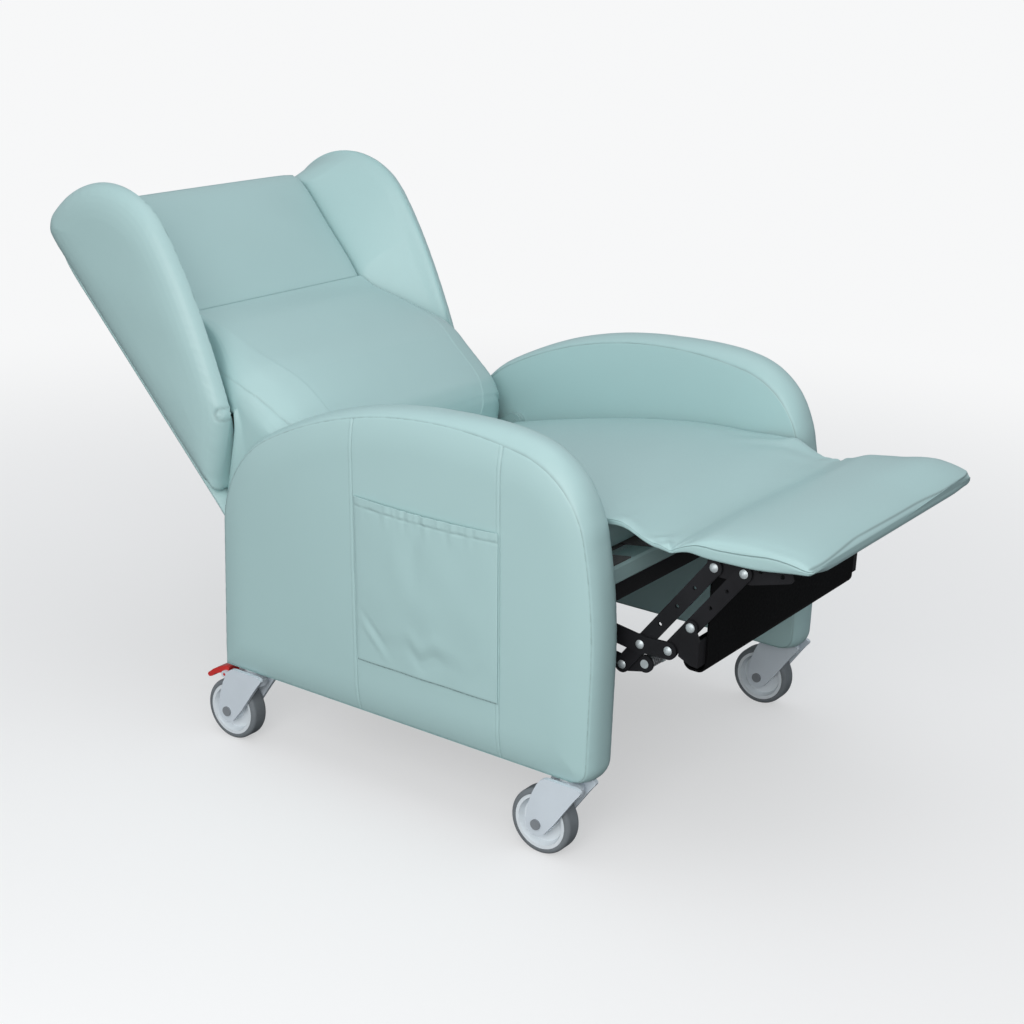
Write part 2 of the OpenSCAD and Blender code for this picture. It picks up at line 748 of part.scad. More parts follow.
module caster_fork_front_right() { color(fork_white) at_caster(true, true) caster_fork(false); }
module caster_fork_front_left() { color(fork_white) at_caster(true, false) caster_fork(false); }
module caster_fork_rear_right() { color(fork_white) at_caster(false, true) caster_fork(true); }
module caster_fork_rear_left() { color(fork_white) at_caster(false, false) caster_fork(true); }
module caster_axle_front_right() { color(zinc) at_caster(true, true) caster_axle(); }
module caster_axle_front_left() { color(zinc) at_caster(true, false) caster_axle(); }
module caster_axle_rear_right() { color(zinc) at_caster(false, true) caster_axle(); }
module caster_axle_rear_left() { color(zinc) at_caster(false, false) caster_axle(); }
module caster_rim_front_right() { color("white") at_caster(true, true) caster_rim(); }
module caster_rim_front_left() { color("white") at_caster(true, false) caster_rim(); }
module caster_rim_rear_right() { color("white") at_caster(false, true) caster_rim(); }
module caster_rim_rear_left() { color("white") at_caster(false, false) caster_rim(); }
module caster_tyre_front_right() { color(tyre_grey) at_caster(true, true) caster_tyre(); }
module caster_tyre_front_left() { color(tyre_grey) at_caster(true, false) caster_tyre(); }
module caster_tyre_rear_right() { color(tyre_grey) at_caster(false, true) caster_tyre(); }
module caster_tyre_rear_left() { color(tyre_grey) at_caster(false, false) caster_tyre(); }
module brake_pedal_right() { color(pedal_red) at_caster(false, true) brake_pedal(); }
module brake_pedal_left() { color(pedal_red) at_caster(false, false) brake_pedal(); }

// Backrest, drawn in its own frame as [front, height up the back]

frame_back = -78;
frame_front = frame_back + frame_depth;
pad_back = frame_front + strap_thick + seat_clear;
// Radius of the lumbar cushion's foot about the back's pivot
pivot_sweep = 27;
pivot_boss = 18;
back_arm_out = 271;
frame_end = back_arm_out - back_arm_thick - seat_clear;
stile_out = cushion_half + 2 - seat_clear;
pivot_s = (back_pivot_z - back_foot_z) * cos(recline) - (back_pivot_f - back_foot_f) * sin(recline);
pivot_t = (back_pivot_z - back_foot_z) * sin(recline) + (back_pivot_f - back_foot_f) * cos(recline);

// Extrudes a backrest profile inward from x_out on the sitter's left
module back_profile(x_out, thick) {
  on_back() translate([x_out, 0, 0]) rotate([90, 0, -90]) linear_extrude(thick) children();
}

module back_frame() {
  inner = stile_out - stile_width;
  color(timber) {
    both_sides() back_profile(stile_out, stile_width)
      translate([frame_back, 70]) square([frame_depth, back_height - 90]);
    back_profile(frame_end, 2 * frame_end) translate([frame_back, 20]) square([frame_depth, 50]);
    for (s = [330, back_height - 70])
      back_profile(inner, 2 * inner) translate([frame_back, s]) square([frame_depth, 50]);
  }
}

module back_arms() {
  color(black_steel) both_sides() back_profile(back_arm_out, back_arm_thick) difference() {
    union() {
      translate([pivot_t, pivot_s]) circle(r = pivot_boss);
      polygon([
        [frame_back + 4, 24], [frame_back + 4, 66], [frame_front, 66],
        [pivot_t, pivot_s + pivot_boss], [pivot_t, pivot_s - pivot_boss], [frame_front, 24]
      ]);
    }
    translate([pivot_t, pivot_s]) circle(r = back_pin_r + pin_clear);
    for (t = [frame_back + 14, frame_front - 10], s = [36, 56]) translate([t, s]) circle(r = 3);
  }
}

module back_webbing() {
  half = stile_out - 8;
  color(web_grey) for (s = [96 : 78 : back_height - 90])
    back_profile(half, 2 * half) translate([frame_front, s]) square([strap_thick, strap_width]);
}

// Half width of the headrest, which widens toward its top
function head_half(s) = cushion_half - 1 + 20 * clamp((s - head_seam) / (back_height - head_seam), 0, 1);

// Room between the lumbar cushion's sides and the wings
wing_clear = 4;

// Front edge of a wing: a long sweep from its lower corner to its belly, a quarter ellipse above
wing_top = 146;
wing_foot = 200;
wing_mid_t = -25;
wing_crest = wing_half - 33;
function wing_front(s) = s < wing_belly
  ? mix(wing_reach, wing_waist, pow((wing_belly - s) / (wing_belly - wing_foot - 5), wing_bow))
  : wing_mid_t + (wing_reach - wing_mid_t) * sqrt(max(1 - pow((s - wing_belly) / wing_top, 2), 0.04));

// Inner face of a wing, which leans out from the headrest's side to the wing's front edge
function wing_in(t, s) =
  mix(head_half(s) + 3, wing_crest, clamp((t - 12) / max(wing_front(s) - 12, 20), 0, 1));

// Front of the lumbar cushion: its foot is round about the back's pivot
function lumbar_front(s) = s <= 35
  ? pivot_t + sqrt(max(pow(pivot_sweep, 2) - pow(s - pivot_s, 2), 0))
  : lookup(s, [
      [35, 95], [56, 112], [73, 119], [95, 122], [155, 114], [204, 106], [233, 97], [318, 54], [393, 11]
    ]);

// Above the frame's foot the cushion's sides spread to a skirt that wraps the frame
skirt_low = 70.5;
skirt_half = inner_face - 2;
function lumbar_ring(s, front, draw) =
  let (
    skirt = s > skirt_low,
    under_wing = max(frame_back + 0.6, -68 + (s - 123) / 0.713),
    start = min(s > 205 ? 9 : skirt ? under_wing : -15, front - 20),
    h = front - start,
    w = (skirt ? mix(skirt_half, head_half(s) + 1, smooth((s - 210) / 170)) : frame_end - 1.4) - draw,
    crown = lumbar_crown * smooth((s - 35) / 65) * smooth((head_seam - s) / 40),
    foot_side = stile_out + seat_clear - draw,
    round = lumbar_round * min(1, h / 100),
    half = [
      [0.5 * cushion_half, pad_back], [cushion_half - 4, pad_back],
      [foot_side, pad_back + 7], [foot_side, start],
      [w, start + 0.08 * h], [w, front - round], [w - 0.1 * round, front - 0.7 * round],
      [w - 0.3 * round, front - 0.46 * round], [w - 0.74 * round, front - 0.15 * round],
      [w - 1.4 * round, front + 0.2 * crown], [0.4 * w, front + 0.85 * crown]
    ],
    fit = [for (p = half) [s > 205 ? min(p[0], wing_in(p[1], s) - wing_clear) : p[0], p[1]]]
  )
  concat(
    [for (p = fit) [p[0], -p[1], s]],
    [[0, -front - crown, s]],
    [for (k = [len(fit) - 1 : -1 : 0]) [-fit[k][0], -fit[k][1], s]],
    [[0, -pad_back, s]]
  );

module lumbar_cushion() {
  foot = pivot_s - pivot_sweep;
  heights = [
    foot + 3, 6, pivot_s, 35, 56, skirt_low, skirt_low + 0.5, 95, 116, 155, 204, 206, 220, 240, 275, 318,
    360, head_seam - 8
  ];
  color(vinyl) on_back() loft(concat(
    [lumbar_ring(foot, pivot_t, 5)],
    [for (s = heights) lumbar_ring(s, lumbar_front(s), 0)],
    [lumbar_ring(head_seam - 1, 4, 5)]
  ));
}

function head_ring(s, base, front, draw) =
  let (
    w = head_half(s) - draw,
    h = front - base,
    crown = 8 * smooth((s - head_seam) / 60) * smooth((back_height - s) / 60),
    half = [
      [0.5 * w, base], [w - 3, base], [w, base + 0.25 * h], [w, base + 0.6 * h],
      [w - 5, front - 6], [w - 20, front - 1], [0.5 * w, front + 0.8 * crown]
    ]
  )
  concat(
    [for (p = half) [p[0], -p[1], s]],
    [[0, -front - crown, s]],
    [for (k = [len(half) - 1 : -1 : 0]) [-half[k][0], -half[k][1], s]],
    [[0, -base, s]]
  );

module headrest_cushion() {
  top = back_height - 20 + seat_clear;
  wrap = frame_back + seat_clear;
  color(vinyl) on_back() loft([
    head_ring(head_seam + 0.3, pad_back, 4, 5), head_ring(head_seam + 8, pad_back, 12, 0),
    head_ring(head_seam + 60, pad_back, 14.5, 0), head_ring(head_seam + 130, pad_back, 15, 0),
    head_ring(back_height - 50, pad_back, 14, 0), head_ring(back_height - 25, pad_back, 8, 0),
    head_ring(top, pad_back, 4, 0), head_ring(top + 0.5, wrap, 3.5, 0),
    head_ring(back_height - 10, wrap, -8, 1), head_ring(back_height - 2, wrap + 8, -26, 8)
  ]);
}

// Wing outline as [front, height up the back], and the same drawn in toward the wing's middle
wing_rear = frame_back;
function wing_outline() = concat(
  [[-70, 123], [-34, 149], [2, 174], [wing_waist - 5, wing_foot]],
  [for (s = [wing_foot + 9, 232, 258, 288, 325, 370, 420, 465]) [wing_front(s), s]],
  [for (a = [0 : 15 : 90])
    [wing_mid_t + (wing_reach - wing_mid_t) * cos(a), wing_belly + wing_top * sin(a)]],
  [[-48, wing_belly + 145], [-63, wing_belly + 139], [-73, wing_belly + 130], [wing_rear, wing_belly + 115]],
  [for (s = [540, 450, 360, 270, 190, 150]) [wing_rear, s]]
);
wing_centre = [0, 420];
function wing_inset(line, d) = [for (p = line) p - d * unit(p - wing_centre)];
function wing_ring(line, inset, x, inward) = [
  for (p = wing_inset(line, inset)) [mix(x, wing_in(p[0], p[1]), inward), -p[0], p[1]]
];

module wing() {
  line = wing_outline();
  difference() {
    on_back() loft([
      wing_ring(line, 55, wing_crest, 1), wing_ring(line, 26, wing_crest, 1),
      wing_ring(line, 12, wing_crest, 0.9), wing_ring(line, 4, wing_crest - 4, 0.4),
      wing_ring(line, 0, wing_crest, 0),
      wing_ring(line, 5, wing_half - 14, 0), wing_ring(line, 14, wing_half - 5.5, 0),
      wing_ring(line, 30, wing_half - 1, 0), wing_ring(line, 58, wing_half, 0)
    ]);
    wing_board_shape(seat_clear);
  }
}

module wing_board_shape(grow) {
  x = wing_half - 22;
  foot = stile_out + seat_clear;
  back_profile(x + grow, wing_board + 2 * grow) offset(delta = grow)
    polygon([for (p = wing_inset(wing_outline(), 42)) [max(p[0], wing_rear + 4), p[1]]]);
  for (s = [250, 400, 540])
    back_profile(x - wing_board + 1, x - wing_board - foot + 1)
      translate([wing_rear + 8 - grow, s - grow]) square([36 + 2 * grow, 40 + 2 * grow]);
}

module wing_left() {
  color(vinyl) wing();
}

module wing_right() {
  color(vinyl) to_right() wing();
}

module wing_boards() {
  color(timber) both_sides() wing_board_shape(0);
}

// Padded panel behind the back frame, waisted where it passes between the side panels
module outside_back() {
  foot = 20;
  low = back_arm_out + 1;
  wide = wing_half - 22;
  top = back_height - 10;
  edge = [
    [low, foot], [low, 60], [wide, 74], [wide, 220], [wide, 400], [wide, top - 90], [wide - 10, top - 40],
    [wide - 45, top - 8], [0.5 * wide, top], [0, top]
  ];
  line = concat(edge, [for (k = [len(edge) - 2 : -1 : 0]) [-edge[k][0], edge[k][1]]], [[0, foot]]);
  middle = [0, 0.5 * top];
  rear = frame_back - seat_clear;
  color(vinyl) on_back() loft([
    for (r = [[0, 0], [0.55, 0], [0.85, 3], [1, 10], [1.12, 60]])
      [for (p = line) let (q = p - r[1] * unit(p - middle))
        [q[0], r[0] * (outside_back_thick - 1) - rear, q[1]]]
  ]);
}

// Footrest

module footrest_board() {
  x = foot_half - 14;
  color(timber) profile(x, 2 * x)
    translate([foot_rear + 7, foot_board_z]) square([foot_length - 16, foot_board]);
}

function foot_ring(f, low, rise, draw) =
  let (
    w = foot_half - draw,
    seam = foot_seam_z,
    half = [
      [0.5 * w, low], [w - 3, low], [w, mix(low, seam, 0.4)], [w - 1, seam],
      [w - 4, seam + 0.4 * rise], [w - 16, seam + 0.74 * rise], [w - 46, seam + 0.88 * rise],
      [0.5 * w, seam + 0.97 * rise]
    ]
  )
  concat(
    [for (p = half) [p[0], rear_y - f, p[1]]],
    [[0, rear_y - f, seam + rise]],
    [for (k = [len(half) - 1 : -1 : 0]) [-half[k][0], rear_y - f, half[k][1]]],
    [[0, rear_y - f, low]]
  );

module footrest_pad() {
  low = foot_board_z - 2.3;
  end = foot_rear + foot_length;
  c = foot_crown;
  color(vinyl) difference() {
    loft([
      foot_ring(end, low + 8, 0, 8), foot_ring(end - 2.5, low + 2, 0.18 * c, 4),
      foot_ring(end - 8, low, 0.5 * c, 1), foot_ring(end - 24, low, 0.84 * c, 0),
      foot_ring(end - 50, low, 0.96 * c, 0), foot_ring(foot_rear + 95, low, c, 0),
      foot_ring(foot_rear + 50, low, 0.97 * c, 0), foot_ring(foot_rear + 20, low, 0.85 * c, 0),
      foot_ring(foot_rear + 6, low, 0.6 * c, 0), foot_ring(foot_rear + 2.5, low + 4, 0.4 * c, 1),
      foot_ring(foot_rear, foot_seam_z - 9, 3, 3)
    ]);
    profile(foot_half - 14 + seat_clear, 2 * (foot_half - 14 + seat_clear))
      translate([foot_rear + 7 - seat_clear, foot_board_z - 10])
      square([foot_length - 16 + 2 * seat_clear, foot_board + 10 + seat_clear]);
  }
}

// Slack vinyl between the seat and the footrest
module calf_panel() {
  f0 = seat_front + seat_clear;
  f1 = foot_rear - seat_clear;
  w = foot_half;
  t = calf_thick / 2;
  color(vinyl) loft([
    for (u = [1, 0.85, 0.7, 0.55, 0.4, 0.25, 0.12, 0])
      let (
        f = mix(f0, f1, u),
        z = mix(seat_height - 15, foot_seam_z - 5, u) - calf_dip * sin(180 * pow(u, 1.2)),
        q = u == 0 || u == 1 ? 0.7 * t : t,
        under = [[0.5 * w, -q], [w - 6, -q], [w - 1, -0.5 * q]],
        half = concat(under, [for (k = [2 : -1 : 0]) [under[k][0], -under[k][1]]])
      )
      concat(
        [[0, rear_y - f, z - q]],
        [for (p = half) [p[0], rear_y - f, z + p[1]]],
        [[0, rear_y - f, z + q]],
        [for (k = [5 : -1 : 0]) [-half[k][0], rear_y - f, z + half[k][1]]]
      )
  ]);
}

module footrest_brackets() {
  top = foot_board_z - seat_clear;
  rear = foot_pin[0] - 13;
  low = foot_pin[1] - 13;
  color(black_steel) both_sides() {
    profile(lower_out, link_thick) difference() {
      polygon([
        [rear, top], [rear, low + 6], [rear + 6, low], [foot_pin_front[0] + 10, low],
        [rear + 125, low + 16], [rear + 128, low + 20], [rear + 123, top]
      ]);
      for (p = [foot_pin, foot_pin_front]) translate(p) circle(r = rivet_r + pin_clear);
      for (df = [30, 62]) translate([foot_pin_front[0] + df - 8, top - 11]) circle(r = 3.5);
    }
    profile(lower_out, 30) translate([rear, top - 3.7]) square([123, 3.7]);
  }
}

// Domed head on the face at x, standing outward, or inward where way is -1
module dome(at, x, way) {
  ball = (pow(rivet_head_r, 2) + pow(rivet_head, 2)) / (2 * rivet_head);
  translate([x, rear_y - at[0], at[1]]) rotate([0, 90 * way, 0]) rotate_extrude() intersection() {
    translate([0, rivet_head - ball]) circle(r = ball);
    square([rivet_head_r + 1, rivet_head]);
  }
}

// Rivet fixed in one link and turning in its neighbour, with a head at each end
module rivet(at, x_in, x_out) {
  cross_pin(at, x_in, x_out, rivet_r);
  dome(at, x_out, 1);
  dome(at, x_in, -1);
}

module footrest_rivets() {
  color(zinc) both_sides() for (p = [foot_pin, foot_pin_front])
    rivet(p, lower_in - seat_clear, bar_out + seat_clear);
}

// Linkage

// How much narrower a link is between its eyes
eye_step = 1.2;

// Straight bar between two points, a little narrower than the eyes at its ends
module bar(a, b, w) {
  d = b - a;
  narrow = w - eye_step;
  translate(a) rotate(atan2(d[1], d[0])) translate([0, -narrow / 2]) square([norm(d), narrow]);
}

module eye(p, r) {
  translate(p) circle(r = r);
}

module upper_link() {
  profile(upper_out, link_thick) difference() {
    union() {
      bar(pivot_a, cross_a, swing_width);
      bar(cross_a, toe_pin, swing_width - 2);
      eye(pivot_a, swing_width / 2);
      eye(cross_a, swing_width / 2 + 1);
      eye(toe_pin, swing_width / 2 - 1);
    }
    translate(pivot_a) circle(r = stud_r + pin_clear);
    for (p = [cross_a, toe_pin]) translate(p) circle(r = rivet_r + pin_clear);
  }
}

module lower_link() {
  profile(lower_out, link_thick) difference() {
    union() {
      bar(pivot_b, cross_b, swing_width - 4);
      bar(cross_b, spring_stud, swing_width - 4);
      eye(pivot_b, swing_width / 2 - 2);
      eye(cross_b, swing_width / 2 - 2);
      eye(spring_stud, swing_width / 2 - 1);
    }
    translate(pivot_b) circle(r = stud_r + pin_clear);
    for (p = [cross_b, spring_stud]) translate(p) circle(r = rivet_r + pin_clear);
    translate(mix(pivot_b, cross_b, 0.45)) circle(r = 3.5);
  }
}

module long_link() {
  profile(bar_out, link_thick) difference() {
    union() {
      bar(cross_b, foot_pin, bar_width);
      for (p = [cross_b, foot_pin]) eye(p, bar_width / 2);
    }
    translate(cross_a) circle(r = rivet_r + pin_clear);
    for (p = [cross_b, foot_pin]) translate(p) circle(r = rivet_r + loop_clear);
    for (k = [0.26, 0.5, 0.74]) translate(mix(cross_a, foot_pin, k)) circle(r = 3);
  }
}

gusset_pin = mix(toe_pin, foot_pin_front, 0.312);
module front_link() {
  profile(bar_out, link_thick) difference() {
    union() {
      bar(toe_pin, foot_pin_front, bar_width);
      for (p = [toe_pin, foot_pin_front]) eye(p, bar_width / 2);
    }
    for (p = [toe_pin, gusset_pin]) translate(p) circle(r = rivet_r + pin_clear);
    translate(foot_pin_front) circle(r = rivet_r + loop_clear);
    for (k = [0.56, 0.78]) translate(mix(toe_pin, foot_pin_front, k)) circle(r = 3);
  }
}

module upper_link_left() { color(black_steel) upper_link(); }
module upper_link_right() { color(black_steel) to_right() upper_link(); }
module lower_link_left() { color(black_steel) lower_link(); }
module lower_link_right() { color(black_steel) to_right() lower_link(); }
module long_link_left() { color(black_steel) long_link(); }
module long_link_right() { color(black_steel) to_right() long_link(); }
module front_link_left() { color(black_steel) front_link(); }
module front_link_right() { color(black_steel) to_right() front_link(); }

module upper_link_rivets() {
  color(zinc) both_sides() for (p = [cross_a, toe_pin])
    rivet(p, bar_out - link_thick - seat_clear, upper_out + seat_clear);
}

module torque_tube() {
  x = upper_out - link_thick;
  color(black_steel) profile(x, 2 * x) translate(pivot_a) difference() {
    circle(r = tube_r);
    circle(r = tube_r - tube_wall);
  }
}

// Long link rivets, and the studs that carry the springs
stud_end = 198;
module lower_link_rivets() {
  color(zinc) both_sides() {
    rivet(cross_b, lower_in - seat_clear, bar_out + seat_clear);
    cross_pin(spring_stud, stud_end, lower_out + seat_clear, rivet_r);
    cross_pin(spring_stud, stud_end, stud_end + 3, 11);
    cross_pin(spring_stud, lower_out + seat_clear, lower_out + seat_clear + 0.5, rivet_r + 1.5);
  }
}

// Coil springs on the studs, their end turns wound closer
ring_turn = 8;
wire_sides = 6;
coil_rings = spring_turns * ring_turn;
end_pitch = spring_wire + 0.6;
function coil_rise(n) =
  end_pitch * (min(n, 1) + max(n - spring_turns + 1, 0)) + spring_pitch * clamp(n - 1, 0, spring_turns - 2);
coil_points = [
  for (k = [0 : coil_rings]) let (n = k / ring_turn, a = 360 * n)
    [coil_rise(n), spring_r * cos(a), spring_r * sin(a)]
];
coil_gap = min([
  for (i = [0 : coil_rings]) for (j = [i + 4 : 1 : coil_rings]) norm(coil_points[i] - coil_points[j])
]) - spring_wire;
echo(coil_gap = coil_gap);

module coil() {
  loft([
    for (k = [0 : coil_rings])
      let (a = 360 * k / ring_turn, out = [0, cos(a), sin(a)])
      [for (m = [0 : wire_sides - 1])
        let (b = 360 * m / wire_sides)
        coil_points[k] + spring_wire / 2 * (cos(b) * out + sin(b) * [1, 0, 0])]
  ]);
}

module stud_springs() {
  start = lower_in - seat_clear - spring_wire / 2;
  color(zinc) both_sides()
    translate([start, rear_y - spring_stud[0], spring_stud[1]]) mirror([1, 0, 0]) coil();
}

// Gussets that carry the front board on the front links
module gusset_plates() {
  p = toe_pin;
  face = board_face - board_sheet - seat_clear;
  x_in = board_half - 17;
  inner = bar_out - link_thick - seat_clear;
  color(black_steel) both_sides() {
    profile(upper_out, link_thick) difference() {
      union() {
        polygon([
          p + [16.5, -3], p + [21, 45], gusset_pin + [3, 9],
          [face, p[1] + 26], [face, p[1] - 13], p + [36, -12]
        ]);
        translate(gusset_pin) circle(r = 11);
      }
    }
    profile(upper_out, upper_out - x_in) translate([face - 3, p[1] - 13]) square([3, 39]);
    cross_pin(gusset_pin, inner, upper_out, rivet_r);
    cross_pin(gusset_pin, bar_out + seat_clear / 2, upper_out - 1, rivet_r + 2);
    dome(gusset_pin, upper_out, 1);
    dome(gusset_pin, inner, -1);
  }
}

// Sheet steel board across the front, bent rearward at its foot and up at its rear edge
module front_board() {
  r = board_bend;
  q = board_sheet;
  depth = 37;
  color(black_steel) profile(board_half, 2 * board_half) translate([board_face, board_low]) {
    translate([-q, r]) square([q, board_high - board_low - r]);
    translate([-depth + r, 0]) square([depth - 2 * r, q]);
    translate([-depth, r]) square([q, 20]);
    for (s = [0, 1]) translate([s == 0 ? -r : r - depth, r]) difference() {
      circle(r = r);
      circle(r = r - q);
      translate([-2 * r, 0]) square([4 * r, 2 * r]);
      translate([s == 0 ? -2 * r : 0, -2 * r]) square([2 * r, 4 * r]);
    }
  }
}

side_cover_right();
side_cover_left();
side_frames();
side_pocket();
seat_front_rail();
seat_rails();
seat_webbing();
seat_cushion();
mechanism_rail();
mechanism_plates();
back_brackets();
rear_stretcher();
caster_mounts();
back_frame();
back_arms();
back_webbing();
lumbar_cushion();
headrest_cushion();
wing_right();
wing_left();
wing_boards();
outside_back();
footrest_board();
footrest_pad();
footrest_brackets();
footrest_rivets();
calf_panel();
upper_link_right();
upper_link_left();
upper_link_rivets();
torque_tube();
lower_link_right();
lower_link_left();
lower_link_rivets();
stud_springs();
long_link_right();
long_link_left();
front_link_right();
front_link_left();
gusset_plates();
front_board();
caster_fork_front_right();
caster_fork_front_left();
caster_fork_rear_right();
caster_fork_rear_left();
caster_axle_front_right();
caster_axle_front_left();
caster_axle_rear_right();
caster_axle_rear_left();
caster_rim_front_right();
caster_rim_front_left();
caster_rim_rear_right();
caster_rim_rear_left();
caster_tyre_front_right();
caster_tyre_front_left();
caster_tyre_rear_right();
caster_tyre_rear_left();
brake_pedal_right();
brake_pedal_left();
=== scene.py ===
"""Dresses a wing-back reclining care chair: vinyl covers, padding, pocket, steel links and casters."""
import bmesh
import bpy
import math
import numpy as np
from mathutils import Matrix


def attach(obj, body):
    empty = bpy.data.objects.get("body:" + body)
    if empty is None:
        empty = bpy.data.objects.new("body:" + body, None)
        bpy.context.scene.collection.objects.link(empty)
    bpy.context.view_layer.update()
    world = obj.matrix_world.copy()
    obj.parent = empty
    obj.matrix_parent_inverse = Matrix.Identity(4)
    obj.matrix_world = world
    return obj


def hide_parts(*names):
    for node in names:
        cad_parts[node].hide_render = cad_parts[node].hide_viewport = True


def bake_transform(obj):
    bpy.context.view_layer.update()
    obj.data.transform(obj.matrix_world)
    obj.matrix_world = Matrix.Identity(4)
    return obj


bl_info = {
    "name": "Wing-back recliner",
    "version": (1, 0, 0),
    "blender": (4, 5, 0),
    "location": "3D View > Sidebar > Recliner",
    "description": "Builds the covers, cushions and finishes of a reclining care chair",
    "category": "Add Mesh",
}

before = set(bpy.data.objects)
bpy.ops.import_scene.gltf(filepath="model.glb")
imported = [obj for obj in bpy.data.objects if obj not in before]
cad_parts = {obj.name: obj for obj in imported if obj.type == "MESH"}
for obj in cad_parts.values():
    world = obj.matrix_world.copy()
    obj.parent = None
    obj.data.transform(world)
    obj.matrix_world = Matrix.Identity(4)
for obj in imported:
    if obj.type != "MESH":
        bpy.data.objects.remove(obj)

# Millimetres: the chair's own sizes, as its solid model has them. "forward" runs from the side
# panels' rear toward the footrest; a point is x across, forward, height.
ORIGIN_FORWARD = 257.0
SEAM_IN, SEAM_OUT = 282.0, 346.0
PANEL_REAR, PANEL_FRONT, PANEL_LOW, PANEL_CORNER = -8.0, 672.0, 127.0, 22.0
BACK_FOOT = np.array([70.0, 350.0])
RECLINE = math.radians(44.0)
UP_BACK = np.array([-math.sin(RECLINE), math.cos(RECLINE)])
OUT_BACK = np.array([math.cos(RECLINE), math.sin(RECLINE)])
HEAD_SEAM = 397.0
# the backrest's frame: how far out its front and its rear face lie
FRAME_FRONT, FRAME_REAR = -27.5, -77.6
# half the chair's width at the wings' edges, and the quarter ellipse of a wing's head: the out and
# up of its middle, and its two radii
WING_HALF = 292.0
WING_HEAD_OUT, WING_HEAD_UP, WING_HEAD_REACH, WING_HEAD_RISE = -25, 505, 156, 150
# the side panel's outline: radii of its four arcs, the headings between them, its highest point
ARC_RADII = (176.0, 665.9, 138.5, 811.0)
ARC_TURNS = np.radians([0.0, 60.7, 101.8, 166.6, 180.0])
PANEL_TOP = 599.6
# how far the two upright seams lean rearward for each millimetre up, from their level height
REAR_LEAN, FRONT_LEAN, LEAN_LEVEL = -0.046, -0.034, 300
# the side pocket's foot, height, width of cloth, and the share of the height where its hem starts
POCKET_LOW, POCKET_TALL, POCKET_CLOTH, HEM_AT = 213.5, 254.0, 252, 0.946
# where the slack part between seat and footrest starts to bend and stops: forward and height
BEND_START, BEND_END, BEND_HEIGHT = 640.0, 757.0, 477.0
# rivet between front link and gusset plate: outer face, forward and height; its cap's radius and rise
GUSSET_RIVET = (252.4, 768.45, 361.74)
RIVET_CAP = (7.0, 3.0)


def place(x, forward, height):
    """Millimetre arrays to metres in the chair's frame: forward counts against Y."""
    x, forward, height = np.broadcast_arrays(x, forward, height)
    return np.stack([x, ORIGIN_FORWARD - forward, height], -1) / 1000.0


def place_back(x, out, up):
    """A point of the backrest: up along its slope and out from its datum, turned to the recline."""
    x, out, up = np.broadcast_arrays(x, out, up)
    forward = BACK_FOOT[0] + up * UP_BACK[0] + out * OUT_BACK[0]
    height = BACK_FOOT[1] + up * UP_BACK[1] + out * OUT_BACK[1]
    return place(x, forward, height)


def ease(v):
    """Smooth step from 0 to 1: 3t squared minus 2t cubed."""
    t = np.clip(v, 0.0, 1.0)
    return t * t * (3.0 - 2.0 * t)


def bell(v, width):
    """Bell curve of a distance: e to the minus square of distance over width."""
    return np.exp(-np.square(v / width))


def spline(points, per=8, closed=False, axis=0, at=None):
    """Catmull-Rom curve through points along one axis: each span is the cubic that leaves and
    meets its end points along their neighbours' chords. It is sampled per times in each span, or
    at the given places, where place 2.5 is halfway from the third point to the fourth."""
    p = np.moveaxis(np.asarray(points, float), axis, 0)
    count = len(p)
    if at is None:
        at = np.arange(count * per) / per if closed else np.arange((count - 1) * per + 1) / per
    first = np.floor(at).astype(int)
    if closed:
        held, first = p, first % count
    else:
        held, first = np.concatenate([2 * p[:1] - p[1:2], p, 2 * p[-1:] - p[-2:-1]]), np.minimum(first, count - 2)
    t = (at - np.floor(at) if closed else at - first).reshape((-1,) + (1,) * (p.ndim - 1))
    low = first - 1 if closed else first
    p0, p1, p2, p3 = (held[(low + k) % len(held)] for k in range(4))
    out = 0.5 * (2 * p1 + (p2 - p0) * t + (2 * p0 - 5 * p1 + 4 * p2 - p3) * t ** 2
                 + (3 * p1 - p0 - 3 * p2 + p3) * t ** 3)
    return np.moveaxis(out, 0, axis)


def places(count, per, seams, spread):
    """Places to sample a closed spline at: even ones, and close ones on both sides of each seam."""
    even = np.arange(count * per) / per
    close = spread * np.array([-1, -0.7, -0.45, -0.28, -0.16, -0.07, 0, 0.07, 0.16, 0.28, 0.45, 0.7, 1])
    for seam in seams:
        even = np.concatenate([even[np.abs(even - seam) > spread], seam + close])
    return np.sort(even)


def walked(path):
    """The length walked along a path up to each of its points."""
    return np.concatenate([[0.0], np.cumsum(np.linalg.norm(np.diff(path, axis=0), axis=1))])


def along(path, count):
    """Points at even shares of a path's own length."""
    run = walked(path)
    share = np.linspace(0, 1, count)
    return np.stack([np.interp(share * run[-1], run, path[:, k]) for k in range(path.shape[1])], -1)


def mirrored(half, top, foot, up):
    """A closed ring at each station: the half profile's (wide, tall) pairs, the middle point at
    top, the same half mirrored, and the middle point at foot, each with its station up."""
    wide = np.stack([a for a, _ in half], 1)
    tall = np.stack([b for _, b in half], 1)
    ring = np.concatenate([
        np.stack([wide, tall], -1), np.stack([0 * up, top], -1)[:, None],
        np.stack([-wide[:, ::-1], tall[:, ::-1]], -1), np.stack([0 * up, foot], -1)[:, None]], 1)
    return np.concatenate([ring, np.broadcast_to(up[:, None, None], ring.shape[:2] + (1,))], -1)


def ripple(run, seed, wave=14.0):
    """Uneven ripple along a seam: three sines of unlike wavelength, with fixed phases."""
    return (np.sin(run / wave * 6.283 + seed) + 0.7 * np.sin(run / (1.7 * wave) * 6.283 + 2.3 * seed)
            + 0.5 * np.sin(run / (0.61 * wave) * 6.283 + 4.1 * seed)) / 2.2


